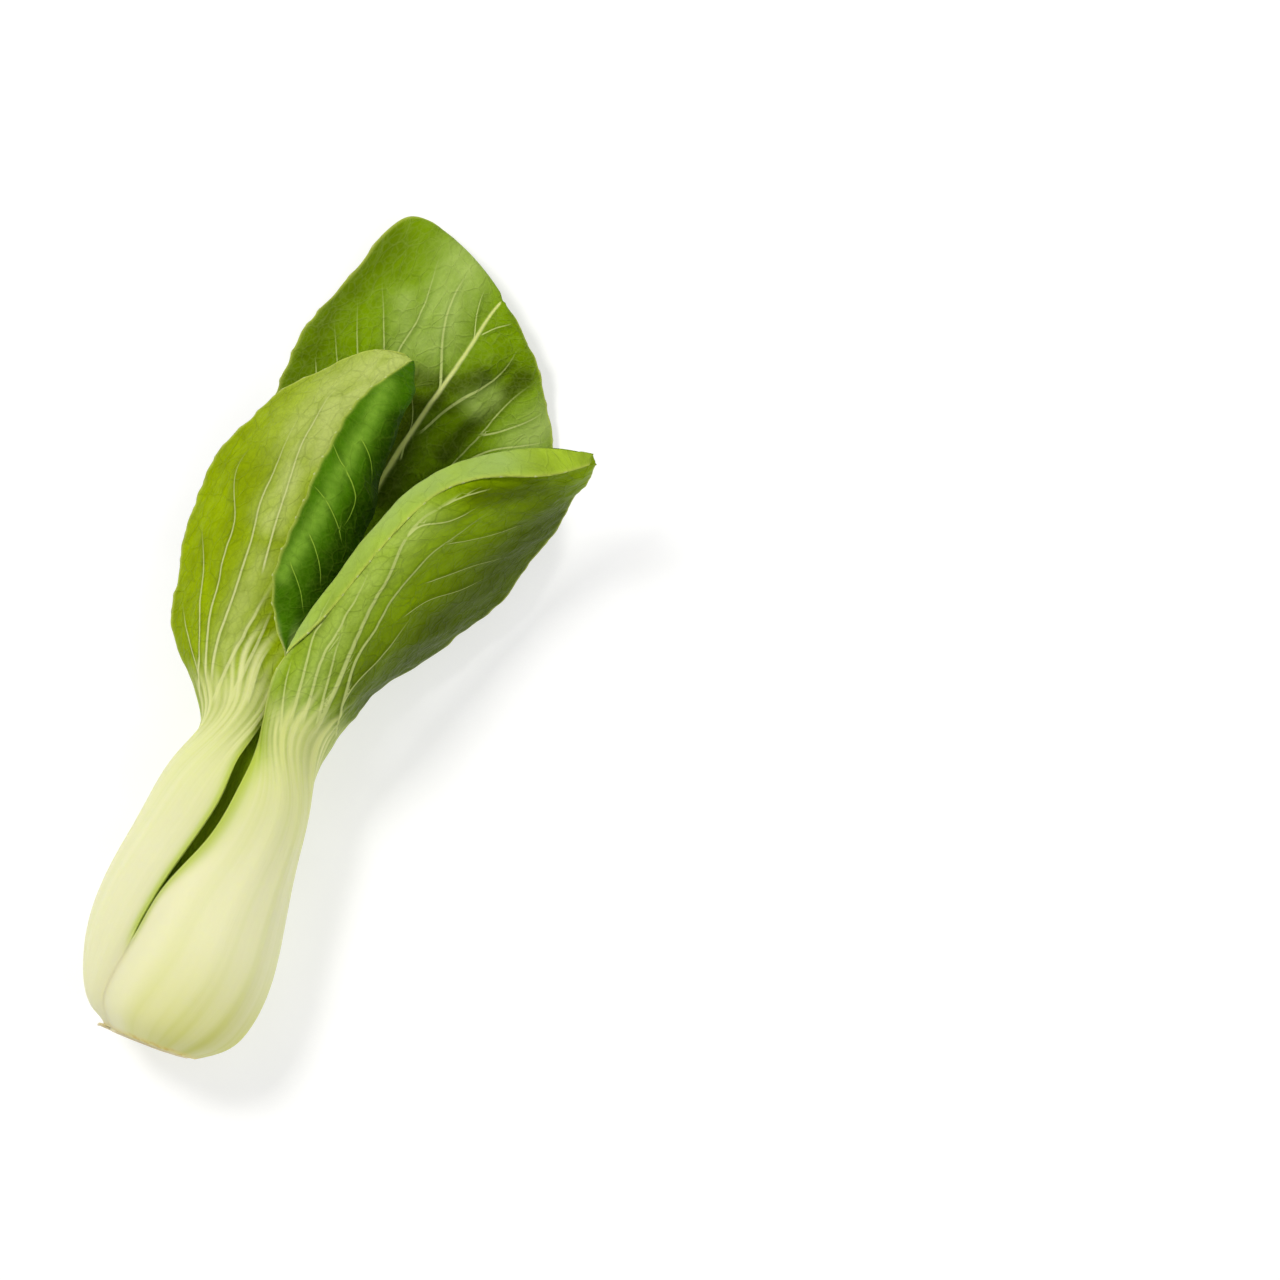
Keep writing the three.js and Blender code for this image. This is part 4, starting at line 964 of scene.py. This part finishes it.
def torn_flake(first):
    """A thin dry flake of skin that sticks out at the left end of the cut."""
    corners = np.array(FLAKE_CORNERS, float)
    rows = []
    for s in np.linspace(0, 1, FLAKE_STEPS):
        for r in np.linspace(0, 1, FLAKE_STEPS):
            near_end = corners[0] * (1 - r) + corners[1] * r
            far_end = corners[3] * (1 - r) + corners[2] * r
            curl = [0, 0.35 * math.sin(2.4 * math.pi * r) * s, 0.7 * s * s + 0.3 * math.sin(math.pi * r)]
            rows.append(near_end * (1 - s) + far_end * s + curl)
    top = np.array(rows)
    index = np.arange(len(top)).reshape(FLAKE_STEPS, FLAKE_STEPS)
    return np.concatenate([top, top - [0, 0, FLAKE_THICKNESS]]), [
        [first + i for i in face] for face in two_skins(index.shape, 1).tolist()]


def crown_piece(head_offset):
    """The stem stub with an uneven cut face and the torn rims of the leaf bases round it."""
    angles = np.linspace(0, 2 * math.pi, CROWN_SEGMENTS, endpoint=False)
    lobes = 0.35 * np.cos(5 * angles) + 0.16 * np.cos(9 * angles + 1) + 0.07 * np.cos(31 * angles)
    centre_x, centre_z = BULB_CENTRE_X[0], BULB_CENTRE_Z[0]
    rings, depths, rims = [], [], []
    for share in np.linspace(0.02, 0.98, CUT_RINGS):
        radius = share * (CROWN_RADIUS[0] + lobes)
        uneven = 0.18 * np.cos(3 * angles + 7 * share) + 0.12 * np.cos(11 * angles - 9 * share)
        y = 0.35 + uneven * share * (1 - share) * 2 - 0.3 * share ** 3
        rings.append(np.stack([centre_x + radius * np.cos(angles), y,
                               centre_z + radius * BULB_FLATTENING * np.sin(angles)], axis=-1))
        depths.append(0.0)
        rims.append(share)
    for y, radius in zip(CROWN_AT, CROWN_RADIUS):
        fade = max(0.0, 1 - y / 11)
        r = radius + lobes * fade
        rings.append(np.stack([centre_x + r * np.cos(angles), y + 0 * angles,
                               centre_z + r * BULB_FLATTENING * np.sin(angles)], axis=-1))
        depths.append(min(1.0, y / 3))
        rims.append(1.0)
    points = np.concatenate(rings + [[[centre_x, 0.35, centre_z], [centre_x, 10.65, centre_z]]])
    index = np.arange(len(rings) * CROWN_SEGMENTS).reshape(len(rings), CROWN_SEGMENTS)
    turned = np.roll(index, -1, axis=1)
    faces = np.stack([index[:-1], index[1:], turned[1:], turned[:-1]], axis=-1).reshape(-1, 4).tolist()
    start, end = len(points) - 2, len(points) - 1
    faces += [[start, index[0, i], turned[0, i]] for i in range(CROWN_SEGMENTS)]
    faces += [[end, turned[-1, i], index[-1, i]] for i in range(CROWN_SEGMENTS)]
    flake_points, flake_faces = torn_flake(len(points))
    points = np.concatenate([points, flake_points])
    piece = mesh_piece("crown", (points + head_offset) * MM, np.array(faces + flake_faces, dtype=object))
    extra = np.zeros(len(flake_points))
    add_attribute(piece, "depth", np.concatenate([np.repeat(depths, CROWN_SEGMENTS), [0, 1], extra]))
    add_attribute(piece, "rim", np.concatenate([np.repeat(rims, CROWN_SEGMENTS), [0, 1], extra + 0.95]))
    finish_piece(piece, crown_material(), "stem", "crown")
    return piece


def head_offset_from_frame():
    """Shift from the head's own millimetres to the frame, read from where the stem stub lies."""
    low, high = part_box("crown")
    middle = (low + high) / 2 / MM
    return np.array([middle.x - BULB_CENTRE_X[0] - 0.0, low.y / MM, middle.z - BULB_CENTRE_Z[0]])


FLOOR_SIZE = 6.0
CAMERA_LENS = 250
CAMERA_SENSOR = 36
FOCUS_HEIGHT = 0.028
FLOOR_GLOW = 0.55


def floor_piece():
    """Pale seamless floor, a large rounded sheet just under the head."""
    points, faces = [], []
    segments = 96
    for ring, radius in enumerate((0.001, 0.4, 1.2, FLOOR_SIZE)):
        for i in range(segments):
            angle = 2 * math.pi * i / segments
            points.append((radius * math.cos(angle), radius * math.sin(angle), 0))
            if ring:
                a, b = ring * segments + i, ring * segments + (i + 1) % segments
                faces.append((a - segments, b - segments, b, a)[::-1])
    faces.append(tuple(range(segments)))
    mesh = bpy.data.meshes.new("floor")
    mesh.from_pydata(points, [], faces)
    floor = bpy.data.objects.new("floor", mesh)
    bpy.context.scene.collection.objects.link(floor)
    s = Shader("pale_floor")
    places = s.node("ShaderNodeTexCoord").outputs["Object"]
    speck = s.node("ShaderNodeTexNoise", {"Vector": places, "Scale": 60.0, "Detail": 3.0}).outputs["Fac"]
    tint = s.mix(s.ramp(speck, 0.3, 0.7), (0.49, 0.49, 0.485, 1), (0.51, 0.51, 0.51, 1))
    skin = s.node("ShaderNodeBsdfPrincipled", {
        "Base Color": tint, "Roughness": 0.8, "Specular IOR Level": 0.1,
        "Emission Color": (1, 1, 1, 1), "Emission Strength": FLOOR_GLOW}).outputs[0]
    s.node("ShaderNodeOutputMaterial", {"Surface": skin})
    mesh.materials.append(s.material)
    return floor


def area_light(name, power, size, place, target, tint=(1, 1, 1)):
    light = bpy.data.lights.new(name, "AREA")
    light.energy = power
    light.size = size
    light.color = tint
    lamp = bpy.data.objects.new(name, light)
    lamp.location = place
    lamp.rotation_euler = (Vector(target) - Vector(place)).to_track_quat("-Z", "Y").to_euler()
    bpy.context.scene.collection.objects.link(lamp)
    return lamp


def picture_axes():
    up = Vector((-math.sin(AXIS_LEAN), math.cos(AXIS_LEAN), 0))
    right = Vector((math.cos(AXIS_LEAN), math.sin(AXIS_LEAN), 0))
    return right, up


def add_camera(head_offset):
    right, up = picture_axes()
    middle_x, middle_y = picture_to_head((PICTURE_PIXELS / 2, PICTURE_PIXELS / 2))
    target = (Vector((middle_x, middle_y, 0)) + Vector(head_offset)) * MM
    target.z = FOCUS_HEIGHT
    width = PICTURE_PIXELS * MM_PER_PIXEL * MM
    camera = bpy.data.cameras.new("camera")
    camera.lens = CAMERA_LENS
    camera.sensor_width = CAMERA_SENSOR
    camera.clip_end = 20
    holder = bpy.data.objects.new("camera", camera)
    holder.matrix_world = Matrix((
        (right.x, up.x, 0, target.x),
        (right.y, up.y, 0, target.y),
        (0, 0, 1, target.z + width * CAMERA_LENS / CAMERA_SENSOR),
        (0, 0, 0, 1)))
    bpy.context.scene.collection.objects.link(holder)
    bpy.context.scene.camera = holder


KEY_POWER = 12.5
FILL_POWER = 2.2
SKY_BRIGHTNESS = 0.48


def add_lights():
    right, up = picture_axes()
    centre = Vector((0, 0, 0.03))
    key = centre - right * 0.55 + up * 0.55 + Vector((0, 0, 1.2))
    fill = centre + right * 0.7 - up * 0.2 + Vector((0, 0, 0.8))
    area_light("key", KEY_POWER, 0.32, key, centre, (1.0, 0.985, 0.95))
    area_light("fill", FILL_POWER, 0.9, fill, centre)
    world = bpy.data.worlds.new("studio")
    world.use_nodes = True
    world.node_tree.nodes["Background"].inputs[0].default_value = (1, 1, 1, 1)
    world.node_tree.nodes["Background"].inputs[1].default_value = SKY_BRIGHTNESS
    bpy.context.scene.world = world


HEAD_OFFSET = head_offset_from_frame()
add_camera(HEAD_OFFSET)
add_lights()
floor_piece()
crown_piece(HEAD_OFFSET)

STALK_COLOURS = ("ebeabd", "d6dd88", "cfda60", "dbe6b0", "c3c44e")
LEFT_STALK_COLOURS = ("e1e0b6", "d2d896", "cbd566", "dddcb2", "e2e0b0")
SLIT_COLOURS = ("a8c020", "8cae10", "5c7a00", "8cae10", "a8c020")
MATERIALS = {
    "leaf_left": leaf_material("leaf_left", "97af00", "3f6e00", "dadf98", "98bc3c", "c4d272", "82ae34",
                               LEFT_STALK_COLOURS),
    "leaf_right": leaf_material("leaf_right", "8aa900", "a8c632", "cfdb86", "c2d874", "adc755", "a8c464",
                                STALK_COLOURS),
    "leaf_back": leaf_material("leaf_back", "8ea408", "7c9f00", "b8cc58", "d0de88", "a8bc60", "b0ca66",
                               STALK_COLOURS),
    "leaf_inner_top": leaf_material("leaf_inner_top", "7c9600", "6c9000", "a8c030", "bccf5c", "a8bc60", "a8c060",
                                    SLIT_COLOURS),
}
INNER = leaf_material("leaf_inner", "9cb408", "7ca000", "c6d268", "c4d670", "d3dc88", "a8c060", STALK_COLOURS)
FINE_STEP, COARSE_STEP = 0.5, 1.0
for LEAF in LEAVES:
    SHOWN = LEAF["name"] in VEINS
    leaf_piece(LEAF, FINE_STEP if SHOWN else COARSE_STEP, 1.0 if SHOWN else 2.0,
               MATERIALS.get(LEAF["name"], INNER), HEAD_OFFSET)

bpy.context.scene.view_settings.view_transform = "Standard"
bpy.context.scene.view_settings.look = "None"
